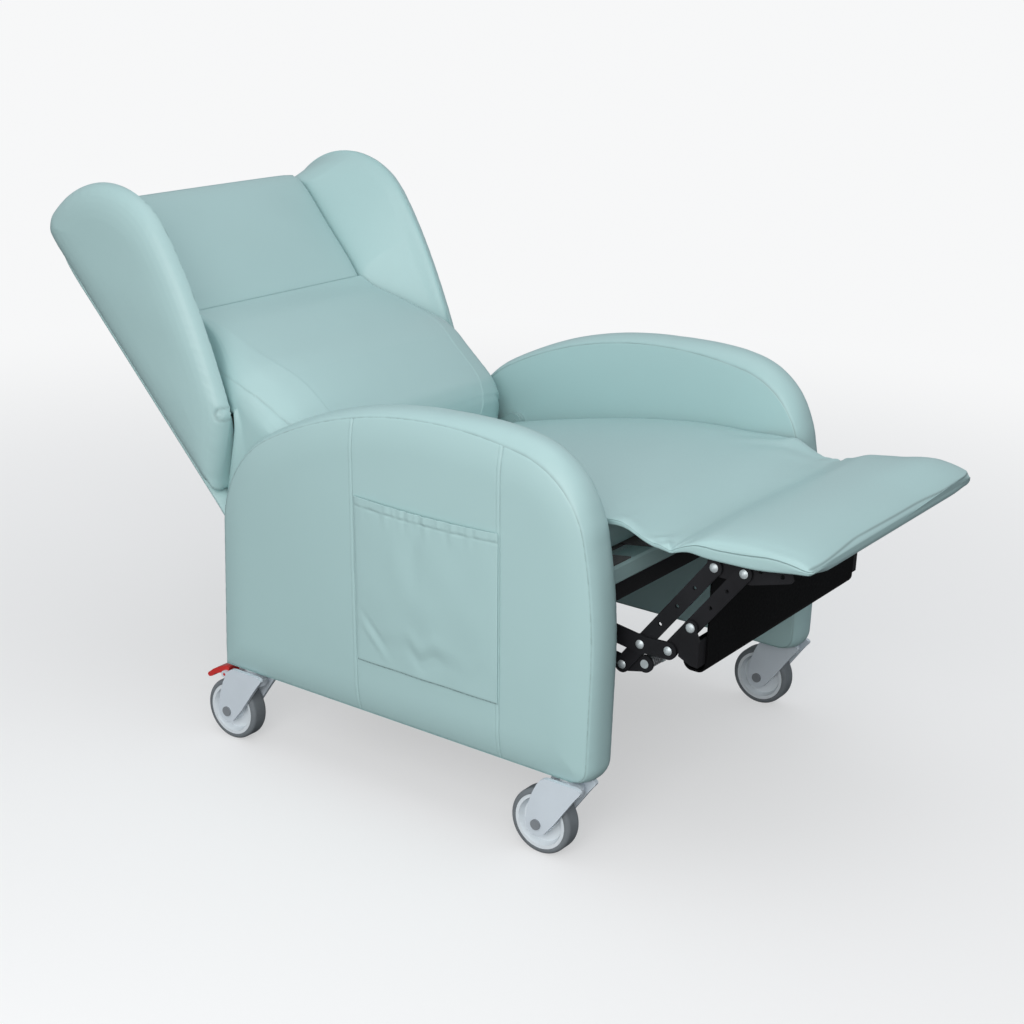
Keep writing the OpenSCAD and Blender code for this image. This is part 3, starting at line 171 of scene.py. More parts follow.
class Shell:
    """Patches of a surface gathered into one mesh, each with a mask of painted shade, strongest deep in its seams."""

    def __init__(self):
        self.points, self.faces, self.masks, self.count = [], [], [], 0

    def grid(self, points, mask=None, wrap=False, flip=False):
        """Quads between neighbouring rows and columns of a grid of points."""
        shape = points.shape[:2]
        index = np.arange(shape[0] * shape[1]).reshape(shape) + self.count
        if wrap:
            index = np.concatenate([index, index[:, :1]], 1)
        quads = np.stack([index[:-1, :-1], index[:-1, 1:], index[1:, 1:], index[1:, :-1]], -1).reshape(-1, 4)
        self.points.append(points.reshape(-1, 3))
        self.faces.append(quads[:, ::-1] if flip else quads)
        self.masks.append(np.broadcast_to(0.0 if mask is None else mask, shape).ravel())
        self.count += shape[0] * shape[1]

    def cap(self, ring, flip=False):
        """Closes a ring with a shallow fan of shrinking rings to its middle."""
        steps = np.linspace(0, 1, 7)[:, None, None]
        self.grid(ring[None] * (1 - steps) + ring.mean(0) * steps, wrap=True, flip=flip)

    def tube(self, points, mask=None, flip=False):
        """Rings joined to each other, and closed at the first and the last."""
        self.grid(points, mask, wrap=True, flip=flip)
        self.cap(points[0], flip=not flip)
        self.cap(points[-1], flip=flip)

    def build(self, name, finish, body, replaced=()):
        """Makes the piece, and says what it rides on and what it replaces."""
        mesh = bpy.data.meshes.new(name)
        points, quads = np.concatenate(self.points), np.concatenate(self.faces)
        mesh.vertices.add(len(points))
        mesh.vertices.foreach_set("co", points.astype(np.float32).ravel())
        mesh.loops.add(quads.size)
        mesh.loops.foreach_set("vertex_index", quads.astype(np.int32).ravel())
        mesh.polygons.add(len(quads))
        mesh.polygons.foreach_set("loop_start", np.arange(0, quads.size, 4, dtype=np.int32))
        mesh.polygons.foreach_set("loop_total", np.full(len(quads), 4, np.int32))
        mesh.update(calc_edges=True)
        # the seam attribute holds the mask of painted shade that darkens the vinyl in its seams
        mask = mesh.attributes.new("seam", "FLOAT", "POINT")
        mask.data.foreach_set("value", np.concatenate(self.masks).astype(np.float32))
        mesh.validate()
        mesh.shade_smooth()
        piece = bpy.data.objects.new(name, mesh)
        bpy.context.scene.collection.objects.link(piece)
        mesh.materials.append(finish_of(finish))
        if body:
            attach(piece, body)
        if replaced:
            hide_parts(*replaced)
        weld(piece)
        return piece


# Points closer than this, in metres, are one
WELD = 0.00002


def weld(piece):
    """Merges points that lie together and turns all faces outward."""
    work = bmesh.new()
    work.from_mesh(piece.data)
    bmesh.ops.remove_doubles(work, verts=work.verts, dist=WELD)
    bmesh.ops.dissolve_degenerate(work, edges=work.edges, dist=WELD / 4)
    bmesh.ops.recalc_face_normals(work, faces=work.faces)
    work.to_mesh(piece.data)
    work.free()
    piece.data.update()


# Materials ------------------------------------------------------------------------------------

def effect(name, inputs, outputs):
    """An empty node group with named sockets."""
    group = bpy.data.node_groups.new(name, "ShaderNodeTree")
    for label, kind, value in inputs:
        made = group.interface.new_socket(label, in_out="INPUT", socket_type="NodeSocket" + kind)
        if value is not None:
            made.default_value = value
    for label, kind in outputs:
        group.interface.new_socket(label, in_out="OUTPUT", socket_type="NodeSocket" + kind)
    return group, group.nodes.new("NodeGroupInput"), group.nodes.new("NodeGroupOutput")


def add(tree, kind, **values):
    """A new node, whose values are its own settings or, with _ for a space, its inputs."""
    node = tree.nodes.new("ShaderNode" + kind)
    for key, value in values.items():
        if hasattr(node, key) and key not in node.inputs:
            setattr(node, key, value)
        else:
            node.inputs[key.replace("_", " ")].default_value = value
    return node


def wire(tree, *joints):
    """Links from an output to an input, each given as node, output, node, input."""
    for source, out, target, into in joints:
        tree.links.new(source.outputs[out], target.inputs[into])


def grain_effect():
    """Embossed grain: small smooth cells over a fine noise, as a height and a tone."""
    group, source, out = effect(
        "Embossed grain", [("Vector", "Vector", None), ("Scale", "Float", 900.0), ("Unevenness", "Float", 0.5)],
        [("Height", "Float"), ("Tone", "Float")])
    cells = add(group, "TexVoronoi", feature="SMOOTH_F1", Smoothness=0.6)
    noise = add(group, "TexNoise", Detail=3.0, Roughness=0.6)
    part = add(group, "Math", operation="MULTIPLY")
    part.inputs[1].default_value = 0.35
    mix = add(group, "Math", operation="MULTIPLY_ADD")
    wire(group, (source, "Vector", cells, "Vector"), (source, "Vector", noise, "Vector"),
         (source, "Scale", cells, "Scale"), (source, "Scale", part, 0), (part, 0, noise, "Scale"),
         (noise, "Fac", mix, 0), (source, "Unevenness", mix, 1), (cells, "Distance", mix, 2),
         (mix, 0, out, "Height"), (noise, "Fac", out, "Tone"))
    return group


def drift_effect():
    """Slow change of tone over a surface, from a broad noise, between two shares."""
    group, source, out = effect(
        "Tone drift", [("Vector", "Vector", None), ("Scale", "Float", 4.0), ("Low", "Float", 0.94),
                       ("High", "Float", 1.05)],
        [("Share", "Float")])
    noise = add(group, "TexNoise", Detail=4.0, Roughness=0.55)
    spread = add(group, "MapRange", From_Min=0.3, From_Max=0.7)
    wire(group, (source, "Vector", noise, "Vector"), (source, "Scale", noise, "Scale"),
         (noise, "Fac", spread, "Value"),
         (source, "Low", spread, "To Min"), (source, "High", spread, "To Max"), (spread, "Result", out, "Share"))
    return group


def tint_effect():
    """A colour times a share, with a darker one blended in by a mask as painted shade."""
    group, source, out = effect(
        "Tinted by share", [("Colour", "Color", (0.5, 0.5, 0.5, 1)), ("Dark", "Color", (0.1, 0.1, 0.1, 1)),
                            ("Share", "Float", 1.0), ("Mask", "Float", 0.0)], [("Colour", "Color")])
    scale = add(group, "VectorMath", operation="SCALE")
    blend = add(group, "Mix", data_type="RGBA")
    wire(group, (source, "Colour", scale, 0), (source, "Share", scale, "Scale"), (source, "Mask", blend, 0),
         (scale, 0, blend, 6), (source, "Dark", blend, 7), (blend, 2, out, "Colour"))
    return group


# What has been made already, so that pieces share it
GROUPS = {}
MATERIALS = {}

# What a finish has where its own row says nothing: the painted shade in its seams as a share of the
# colour, the range of roughness, metal, the grain's size, unevenness, strength and height in metres,
# the size and range of the drift in tone, a clear coat, reflection, sheen and the grain's stretch
USUAL = dict(seam_shade=0.4, rough=(0.4, 0.5), metal=0.0, grain=900.0, unevenness=0.5, depth=0.15, bump=0.0002, drift=4.0,
             low=0.95, high=1.05, coat=0.0, coat_rough=0.2, specular=0.5, sheen=0.0, stretch=(1, 1, 1), seam=False)

# Each finish's name, its colour or its share of the vinyl's colour, and what differs from the usual
FINISHES = {
    "vinyl": ("Aqua vinyl", 1.0, dict(
        seam_shade=0.42, grain=1100.0, unevenness=0.4, depth=0.22, bump=0.00025, drift=2.5, low=0.975, high=1.02, coat=0.06,
        coat_rough=0.3, specular=0.42, seam=True)),
    "powder": ("Black powder coat", (0.014, 0.014, 0.016), dict(
        rough=(0.36, 0.48), grain=1500.0, depth=0.25, bump=0.0003, drift=9.0, low=0.75, high=1.35, specular=0.2)),
    "board": ("Black board paint", (0.003, 0.003, 0.0034), dict(
        rough=(0.45, 0.6), grain=700.0, depth=0.3, bump=0.0003, drift=6.0, low=0.7, high=1.4, specular=0.08)),
    "matching": ("Matching paint", 0.8, dict(grain=1300.0, depth=0.2, specular=0.3)),
    "zinc": ("Bright zinc plate", (0.60, 0.66, 0.68), dict(
        rough=(0.42, 0.55), metal=0.45, grain=600.0, depth=0.1, drift=60.0, low=0.88, high=1.06)),
    "spring": ("Spring wire", (0.66, 0.67, 0.68), dict(
        rough=(0.25, 0.38), metal=1.0, depth=0.1, drift=80.0, low=0.8, high=1.1)),
    "timber": ("Plain plywood", (0.56, 0.40, 0.24), dict(
        rough=(0.55, 0.7), grain=260.0, unevenness=1.2, depth=0.3, drift=22.0, low=0.72, high=1.12,
        stretch=(1.0, 0.12, 1.0))),
    "webbing": ("Elastic webbing", (0.05, 0.05, 0.055), dict(
        rough=(0.75, 0.9), grain=700.0, unevenness=0.2, depth=0.8, bump=0.0006, drift=30.0, low=0.7, high=1.4,
        sheen=0.2,
        stretch=(1.0, 1.0, 0.3))),
    "fork": ("Light grey moulding", (0.63, 0.70, 0.76), dict(
        rough=(0.34, 0.45), grain=1300.0, depth=0.12, drift=12.0, high=1.03)),
    "rim": ("White wheel centre", (0.73, 0.79, 0.83), dict(
        rough=(0.32, 0.42), grain=1200.0, depth=0.1, drift=16.0, high=1.02)),
    "tread": ("Grey tread", (0.17, 0.19, 0.205), dict(
        rough=(0.6, 0.8), depth=0.3, drift=18.0, low=0.85, high=1.15, specular=0.35)),
    "pedal": ("Red moulding", (0.58, 0.034, 0.030), dict(
        rough=(0.3, 0.4), grain=1000.0, depth=0.1, drift=25.0, low=0.9, high=1.1, coat=0.1)),
    "hub": ("Hub cover grey", (0.22, 0.24, 0.26), dict(grain=1300.0, depth=0.1, drift=30.0)),
}

SPOTS = ("front_right", "front_left", "rear_right", "rear_left")
SIDES = ("right", "left")
# The nodes of the solid model that are seen as they are, by their finish
CARRIED = {
    "timber": ["side_frames", "seat_rails", "rear_stretcher", "back_frame", "wing_boards"],
    "webbing": ["seat_webbing", "back_webbing"],
    "vinyl": ["seat_front_rail"],
    "powder": ["mechanism_rail", "mechanism_plates", "footrest_brackets", "torque_tube", "gusset_plates"]
              + [f"{k}_link_{s}" for k in ("upper", "lower", "long", "front") for s in SIDES],
    "board": ["front_board", "footrest_board"],
    "matching": ["back_brackets", "back_arms"],
    "zinc": ["caster_mounts", "footrest_rivets", "upper_link_rivets", "lower_link_rivets"],
    "spring": ["stud_springs"],
    "fork": [f"caster_fork_{s}" for s in SPOTS],
    "hub": [f"caster_axle_{s}" for s in SPOTS],
    "rim": [f"caster_rim_{s}" for s in SPOTS],
    "tread": [f"caster_tyre_{s}" for s in SPOTS],
    "pedal": [f"brake_pedal_{s}" for s in SIDES],
}


def place_group(tree, name, **values):
    """A node of one of the three effects, which is made when it is first placed."""
    node = tree.nodes.new("ShaderNodeGroup")
    if name not in GROUPS:
        GROUPS[name] = {"grain": grain_effect, "drift": drift_effect, "tint": tint_effect}[name]()
    node.node_tree = GROUPS[name]
    for key, value in values.items():
        node.inputs[key].default_value = value
    return node


def finish_of(kind):
    """A surface finish: colour drifting in tone, grain in its height and roughness, and seams darkened with painted
    shade.
    """
    if kind in MATERIALS:
        return MATERIALS[kind]
    name, colour, own = FINISHES[kind]
    own = {**USUAL, **own}
    if isinstance(colour, float):
        colour = [c * colour for c in bpy.context.scene.recliner_looks.vinyl]
    made = bpy.data.materials.new(name)
    made.use_nodes = True
    tree = made.node_tree
    shader = tree.nodes["Principled BSDF"]
    where = add(tree, "TexCoord")
    turn = add(tree, "Mapping", Scale=own["stretch"])
    texture = place_group(tree, "grain", Scale=own["grain"], Unevenness=own["unevenness"])
    broad = place_group(tree, "drift", Scale=own["drift"], Low=own["low"], High=own["high"])
    tint = place_group(tree, "tint", Colour=(*colour, 1), Dark=(*[c * own["seam_shade"] for c in colour], 1))
    # only the vinyl takes painted shade in its seams, from the mesh's seam mask
    if own["seam"]:
        wire(tree, (add(tree, "Attribute", attribute_name="seam"), "Fac", tint, "Mask"))
    spread = add(tree, "MapRange", From_Min=0.3, From_Max=0.7, To_Min=own["rough"][0], To_Max=own["rough"][1])
    relief = add(tree, "Bump", Strength=own["depth"], Distance=own["bump"])
    wire(tree, (where, "Object", turn, "Vector"), (turn, 0, texture, "Vector"), (turn, 0, broad, "Vector"),
         (broad, "Share", tint, "Share"), (tint, "Colour", shader, "Base Color"), (texture, "Tone", spread, "Value"),
         (spread, "Result", shader, "Roughness"), (texture, "Height", relief, "Height"),
         (relief, "Normal", shader, "Normal"))
    for label, key in (("Metallic", "metal"), ("Coat Weight", "coat"), ("Coat Roughness", "coat_rough"),
                       ("Specular IOR Level", "specular"), ("Sheen Weight", "sheen")):
        shader.inputs[label].default_value = own[key]
    MATERIALS[kind] = made
    return made


# Side panels ----------------------------------------------------------------------------------

def panel_outline():
    """The panel's outline, clockwise from its rear foot: four arcs whose headings run from
    straight up through 60.7, 101.8 and 166.6 degrees to straight down, then the foot's corner."""
    radii, turns = list(ARC_RADII), ARC_TURNS
    reach = sum(r * (math.cos(a) - math.cos(b)) for r, a, b in zip(radii, turns[:-1], turns[1:]))
    # the long arc takes up what the panel's length leaves
    radii[1] += (PANEL_FRONT - PANEL_REAR - reach) / (math.cos(turns[1]) - math.cos(turns[2]))
    shoulder = PANEL_TOP - radii[0] * math.sin(turns[1]) - radii[1] * (1 - math.sin(turns[1]))
    spot = np.array([PANEL_REAR, shoulder])
    parts = [np.array([[PANEL_REAR, PANEL_LOW]]), spot[None]]
    for r, a, b in zip(radii, turns[:-1], turns[1:]):
        middle = spot + r * np.array([math.cos(a), -math.sin(a)])
        h = np.linspace(a, b, 40)[1:]
        parts.append(middle + r * np.stack([-np.cos(h), np.sin(h)], -1))
        spot = parts[-1][-1]
    parts.append(np.array([[PANEL_FRONT, PANEL_LOW + PANEL_CORNER]]))
    h = np.linspace(0, math.pi / 2, 9)[1:]
    parts.append(np.stack([PANEL_FRONT - PANEL_CORNER * (1 - np.cos(h)), PANEL_LOW + PANEL_CORNER * (1 - np.sin(h))],
                          -1))
    path = np.concatenate(parts)
    return along(path, int(walked(path)[-1] / 4.0))


def outward(path):
    """Unit normals to the left of a path, and so outward of a clockwise one."""
    d = np.gradient(path, axis=0)
    n = np.stack([-d[:, 1], d[:, 0]], -1)
    return n / np.linalg.norm(n, axis=1, keepdims=True)


def edge_distance(points, line):
    """Least distance from points to the straight pieces of a line."""
    a, b = line[:-1], line[1:]
    d = b - a
    least = np.full(points.shape[:-1], 1e9)
    for row in range(points.shape[0]):
        v = points[row][:, None] - a[None]
        t = np.clip((v * d).sum(-1) / (d * d).sum(-1), 0, 1)
        least[row] = np.linalg.norm(v - t[..., None] * d, axis=-1).min(1)
    return least


# Stations across the thickness of a band, close together beside its two seams
BAND = np.array([0, 0.7, 1.4, 2.3, 3.6, 5.5, 8, 11, 15, 20, 26, 32, 38, 44, 49, 53, 56, 58.5, 60.4, 61.7, 62.6, 63.3,
                 64.0])


def side_panel(side, name, node):
    """One side panel. The band: outline moved out by a crown that falls to nothing at both seams.
    The faces: columns from the foot to the outline, swelling with distance from the edge."""
    looks = bpy.context.scene.recliner_looks
    shell = Shell()
    path = panel_outline()
    normal = outward(path)
    normal[0], normal[-1] = (-1, 0), (0, -1)
    run = walked(path)
    total = run[-1]
    thick = SEAM_OUT - SEAM_IN
    across = BAND * thick / BAND[-1]
    near = np.minimum(across, thick - across)
    crown = 1 - np.abs(2 * across / thick - 1) ** 2.6
    # the padding is fullest over the arm's front corner
    plump = np.minimum(np.interp(path[:, 0], [120, 200, 330, 400, 440, 475, 520, 590],
                                 [0, 1.5, 2, 3, 5.5, 8.5, 12, 13]),
                       np.interp(path[:, 1], [470, 511, 545, 575], [0, 3, 9.5, 13]))
    dip = bell(near, 1.3)
    curl = ease(run / 30) * ease((total - run) / 20)
    waves = ripple(run, 1.3 + side, 17.0)[:, None] * np.exp(-near / 9.0)[None] * curl[:, None]
    lift = crown[None] * ((looks.band_swell + plump) * curl)[:, None] + 0.55 * looks.pucker * waves - 1.7 * dip[None]
    spot = path[:, None] + normal[:, None] * lift[..., None]
    x = SEAM_OUT - across
    band = place(side * x[None], spot[..., 0], spot[..., 1])
    # painted shade in the band's two seams, uneven along them
    shade_wobble = 0.8 + 0.3 * ripple(run, 4.0, 71.0)[:, None]
    shell.grid(band, 0.62 * shade_wobble * bell(near, 1.0)[None])
    # underside
    foot = np.linspace(path[-1, 0], path[0, 0], 60)
    shell.grid(place(side * x[None], foot[:, None], PANEL_LOW))
    for outer in (True, False):
        fine = 3.4 if outer else 8.0
        # places along the face, close together beside its edges and its upright seams
        columns = np.concatenate([
            PANEL_REAR + np.array([0, 0.8, 1.8, 3, 5, 8, 12, 17]),
            np.arange(PANEL_REAR + 21, PANEL_FRONT - 62, fine), np.arange(PANEL_FRONT - 60, PANEL_FRONT - 6, 2.0),
            PANEL_FRONT - np.array([5, 4, 3, 2.2, 1.5, 0.9, 0.4, 0.1])])
        if outer:
            for seam in (looks.rear_seam, looks.front_seam):
                columns = np.concatenate([
                    columns, seam + np.array([-7.5, -6.6, -6, -5.4, -4.5, -2, -1.2, -0.5, 0, 0.5, 1.2, 2])])
            columns = np.unique(np.round(columns, 2))
        top_end = int(np.argmax(path[:, 0]))
        upper = path[1:top_end + 1]
        lower = path[top_end:][::-1]
        rows = np.concatenate([[0, 0.002, 0.005, 0.01, 0.02, 0.035], np.linspace(0.055, 0.9, 52 if outer else 26),
                               1 - np.geomspace(0.085, 0.0014, 16), [1.0]])[:, None]

        def upright(where):
            high = np.interp(where, upper[:, 0], upper[:, 1])
            low = np.interp(where, np.concatenate([[PANEL_REAR], lower[:, 0]]),
                            np.concatenate([[PANEL_LOW], lower[:, 1]]))
            return low + (high - low) * rows
        # the upright seams lean a little rearward toward their tops
        lean = np.interp(columns, [PANEL_REAR, looks.rear_seam, looks.front_seam, PANEL_FRONT],
                         [0, REAR_LEAN, FRONT_LEAN, 0])
        place_forward = columns + lean * (upright(columns) - LEAN_LEVEL)
        height = upright(place_forward)
        flat = np.stack([place_forward, height], -1)
        edge = edge_distance(flat, np.concatenate([path, path[:1]]))
        swell = (looks.face_swell if outer else 2.0) * (1 - (1 - np.clip(edge / 55.0, 0, 1)) ** 2.3)
        swell *= ease((height - PANEL_LOW) / 12.0) * 0.5 + 0.5
        depth = 1.5 * bell(edge, 1.6)
        # painted shade along the seam at the face's edge
        mask = 0.62 * bell(edge, 1.1)
        if outer:
            wave = ripple(height, 2.0 + side, 21.0)
            # each upright seam: a groove, and a shallower line beside it, both with painted shade
            gap = 6.0
            for seam in (looks.rear_seam, looks.front_seam):
                off = columns - seam
                depth += 0.95 * bell(off, 1.1) + 0.4 * bell(off + gap, 0.9)
                depth -= (0.3 * ease((off + gap + 1) / 1.5) * ease(-off / 1.2)
                          + 0.3 * looks.pucker * wave * bell(off + 2, 9.0))
                shade_wobble = 0.75 + 0.25 * ripple(height, 1.0 + seam, 57.0)
                mask = np.maximum(mask, 0.45 * shade_wobble * bell(off, 0.8))
                mask = np.maximum(mask, 0.16 * shade_wobble * bell(off + gap, 0.6))
            drape = np.sin(flat[..., 0] / 61.0 + 0.4) * np.sin(height / 83.0 + 1.1)
            swell += 0.5 * drape * ease(edge / 60.0)
        wall = SEAM_OUT if outer else SEAM_IN
        away = side * (wall + (swell - depth) * (1 if outer else -1))
        shell.grid(place(away, flat[..., 0], height), mask, flip=not outer)
    shell.build(name, "vinyl", "base", [node])


# Pocket ---------------------------------------------------------------------------------------

def pocket():
    """The pocket: a sheet that lifts from the panel by a power of the sine across it, with a
    gathered hem on top and soft folds that sag from its upper corners."""
    looks = bpy.context.scene.recliner_looks
    u = np.concatenate([[0, 0.004, 0.01, 0.02], np.linspace(0.035, 0.965, 100), [0.98, 0.99, 0.996, 1]])[None]
    v = np.concatenate([[0, 0.004, 0.01, 0.02, 0.035], np.linspace(0.055, 0.90, 76),
                        np.linspace(0.905, 1.0, 28)])[:, None]
    # its sides follow the panel's two leaning seams
    level = POCKET_LOW + POCKET_TALL * v
    rear = looks.rear_seam + 4.0 + REAR_LEAN * (level - LEAN_LEVEL)
    wide = looks.front_seam - 1.5 + FRONT_LEAN * (level - LEAN_LEVEL) - rear
    run = u * POCKET_CLOTH
    rise = np.sin(math.pi * u)
    body = 5.0 * rise ** 0.5 * (0.10 + 0.90 * ease(v * 2.0))
    gather = ripple(run, 5.0, 24.0)
    hem = ease((v - HEM_AT + 0.006) / 0.018)
    body += 0.9 * gather * ease((v - 0.82) / 0.12) * rise ** 0.6 + 0.7 * hem
    pinch = 0.6 + 0.9 * np.clip(ripple(run, 7.3, 31.0), -0.6, 1)
    body -= 0.7 * pinch * bell(v - HEM_AT, 0.011)
    body += 0.8 * hem * ripple(run, 9.0, 13.0) * rise ** 0.5
    # short folds down to the lower rear corner, wavy ones along the bottom, and a broad upright one
    corner = v - (0.24 - 1.0 * (u - 0.04))
    body += 1.2 * (bell(corner, 0.03) - bell(corner - 0.07, 0.03)) * bell(u - 0.13, 0.08)
    wavy = v - (0.16 - 0.05 * u + 0.026 * np.sin(u * 21 + 1.0) + 0.012 * np.sin(u * 37))
    body += 1.9 * (bell(wavy - 0.09, 0.06) - bell(wavy, 0.05)) * bell(u - 0.5, 0.26) * (0.7 + 0.3 * np.sin(u * 15))
    body -= 1.0 * bell(u - 0.41 - 0.04 * v, 0.045) * ease((v - 0.45) / 0.2) * ease((1 - v) / 0.1)
    body += 0.9 * bell(u - 0.31, 0.06) * ease((v - 0.4) / 0.3) * ease((1 - v) / 0.15)
    body += 0.5 * np.sin(u * 17 + v * 5) * np.sin(v * 9 + 1.5) * rise * (1 - hem)
    lift = 0.9 + np.maximum(body, 0.0) * np.minimum(1.0, np.minimum(u, 1 - u) / 0.01 + 0.15)
    sag = -2.5 * rise * ease((v - 0.7) / 0.3)
    face = SEAM_OUT + looks.face_swell
    forward = rear + wide * u
    height = level + sag
    front = place(-(face + lift + 0.9), forward, height)
    behind = place(-(face + lift - 0.1), forward, height)
    shell = Shell()
    # painted shade along the pocket's bottom seam, in the pinch under its hem and faintly along its sides
    mask = np.maximum(0.95 * bell(v, 0.0065), np.clip(0.15 * pinch, 0, 1) * bell(v - HEM_AT, 0.005))
    mask = np.maximum(mask, 0.08 * np.maximum(bell(u - 0.012, 0.004), bell(u - 0.988, 0.004)))
    shell.grid(front, mask, flip=True)
    shell.grid(behind)
    for edge in ((front[0], behind[0]), (behind[-1], front[-1]), (behind[:, 0], front[:, 0]),
                 (front[:, -1], behind[:, -1])):
        shell.grid(np.stack(edge))
    piece = shell.build("side_pocket_cloth", "vinyl", "base", ["side_pocket"])


# Backrest -------------------------------------------------------------------------------------

def head_half(up):
    """Half width of the headrest, which widens toward its top."""
    return 210.0 + 20.0 * np.clip((up - HEAD_SEAM) / 253.0, 0, 1)


def wing_front(up):
    """How far out a wing's front edge lies: a power of the distance below its belly, and a quarter
    ellipse above."""
    belly = WING_HEAD_OUT + WING_HEAD_REACH
    sweep = belly - 90 * (np.maximum(WING_HEAD_UP - up, 0) / 300) ** 1.45
    head = WING_HEAD_OUT + WING_HEAD_REACH * np.sqrt(
        np.maximum(1 - ((up - WING_HEAD_UP) / WING_HEAD_RISE) ** 2, 0.04))
    return np.where(up < WING_HEAD_UP, sweep, head)


def wing_in(out, up):
    """Half width inside the wings: the inner face leans from beside the cushions out to the edge.
    The share of the way is rounded off near nothing by a root of its square plus a small part."""
    beside = head_half(up) + 3
    front = wing_front(up)
    share = (out - 12) / np.maximum(front - 12, 20)
    lean = beside + (WING_HALF - beside) * np.clip(0.5 * (share + np.sqrt(share ** 2 + 0.012)), 0, 1)
    return np.maximum(lean, np.minimum(WING_HALF, WING_HALF - 0.75 * (front - out)))


def wing_edge():
    """The wing's outline, as out and up: a straight lower edge, a long front curve, a round head
    drawn as a quarter ellipse, and a straight rear; with a share that is 1 on the lower edge."""
    foot = np.array([[-70, 123], [-52, 136], [-34, 149], [-16, 161.5], [2, 174], [20, 187], [31, 195]], float)
    corner = np.array([[36.2, 199.6], [39.8, 205]])
    up = np.linspace(214, 492, 26)
    front = np.stack([wing_front(up), up], -1)
    a = np.radians(np.linspace(4, 88, 20))
    head = np.stack([WING_HEAD_OUT + WING_HEAD_REACH * np.cos(a), WING_HEAD_UP + WING_HEAD_RISE * np.sin(a)], -1)
    rear = np.array([[-38, 655], [-50, 653.5], [-61, 648.5], [-70, 640], [-75.5, 629]], float)
    down = np.stack([np.full(24, FRAME_REAR), np.linspace(608, 150, 24)], -1)
    line = spline(np.concatenate([foot, corner, front, head, rear, down]), 5, closed=True)
    line = along(np.concatenate([line, line[:1]]), 380)[:-1]
    return line, (line[:, 1] < 200.5) & (line[:, 0] > -76)


def wing(side, name, node):
    """A wing: rings run from its outline to its middle, and each point's place across the chair
    follows from its distance to the edge, over a soft outer face and a leaning inner one. The
    distances to the lower edge and to the rest blend by the root of the sum of their powers."""
    line, low = wing_edge()
    middle = np.array([0.0, 425.0])
    share = np.concatenate([[0, 0.001, 0.0025, 0.0045, 0.007, 0.0105, 0.015, 0.0205, 0.027],
                            np.linspace(0.035, 0.13, 14),
                            np.linspace(0.14, 0.34, 16), np.linspace(0.37, 0.94, 14)])
    spot = line[None] + (middle - line)[None] * share[:, None, None]
    out, up = spot[..., 0], spot[..., 1]
    turn = np.flatnonzero(~low & np.roll(low, 1))[0]
    ring = np.roll(line, -turn, axis=0)
    lower = int((~low).sum())
    near_rest = np.maximum(edge_distance(spot, ring[:lower]), 1e-4)
    near_low = np.maximum(edge_distance(spot, np.concatenate([ring[lower - 1:], ring[:1]])), 1e-4)
    depth = (near_rest ** -3.0 + near_low ** -3.0) ** (-1 / 3)
    depth = depth * (share[:, None] > 0)
    # half width of the outer face, and share of the way in to the inner face, by distance
    face = np.interp(depth, [0, 0.7, 2.6, 6, 11, 18, 27, 38, 52, 70, 92],
                     [292, 296.6, 301.4, 306.4, 311, 315.4, 318.8, 321.4, 323.4, 324.6, 325.2])
    root = np.sqrt(np.clip(depth, 0, 60) / 60)
    face = WING_HALF + 33.2 * (1 - (1 - root) ** 2.1) * 0.5 + 0.5 * (face - WING_HALF)
    lowness = near_rest / (near_rest + near_low)
    reach = 1 - (1 - np.clip(depth / (26 - 21 * ease(lowness * 1.25)), 0, 1)) ** 2.4
    inner = WING_HALF * (1 - reach) + wing_in(out, up) * reach
    # short folds drawn into the knot where the lower edge meets the front edge
    off = np.stack([out - 34, up - 203], -1)
    near = np.linalg.norm(off, axis=-1)
    angle = np.arctan2(off[..., 1], off[..., 0])
    folds = np.sin(5 * angle + 0.8) + 0.6 * np.sin(9 * angle + 2.0)
    face = face - 1.7 * bell(near - 10, 2.2) + 1.0 * folds * bell(near - 4, 4)
    slack = np.sin(up / 61.0 + 0.6) * np.sin(out / 47.0 + 1) + 0.5 * np.sin((up + 1.7 * out) / 33.0)
    face = face + 0.6 * slack * ease((depth - 10) / 40)
    # faint gathers along the rolled edge
    walk = walked(line)[None]
    face = face + 0.35 * ripple(walk, 2.0 + side, 23.0) * bell(depth - 9, 8)
    shell = Shell()
    outside = place_back(side * face, out, up)
    # painted shade in a ring round the knot where the lower and front edges meet
    shell.grid(outside, 0.45 * bell(near - 10, 1.8), wrap=True, flip=side < 0)
    inside = place_back(side * inner, out, up)
    shell.grid(inside, wrap=True, flip=side > 0)
    shell.cap(outside[-1], flip=side < 0)
    shell.cap(inside[-1], flip=side > 0)
    shell.build(name, "vinyl", "back", [node])


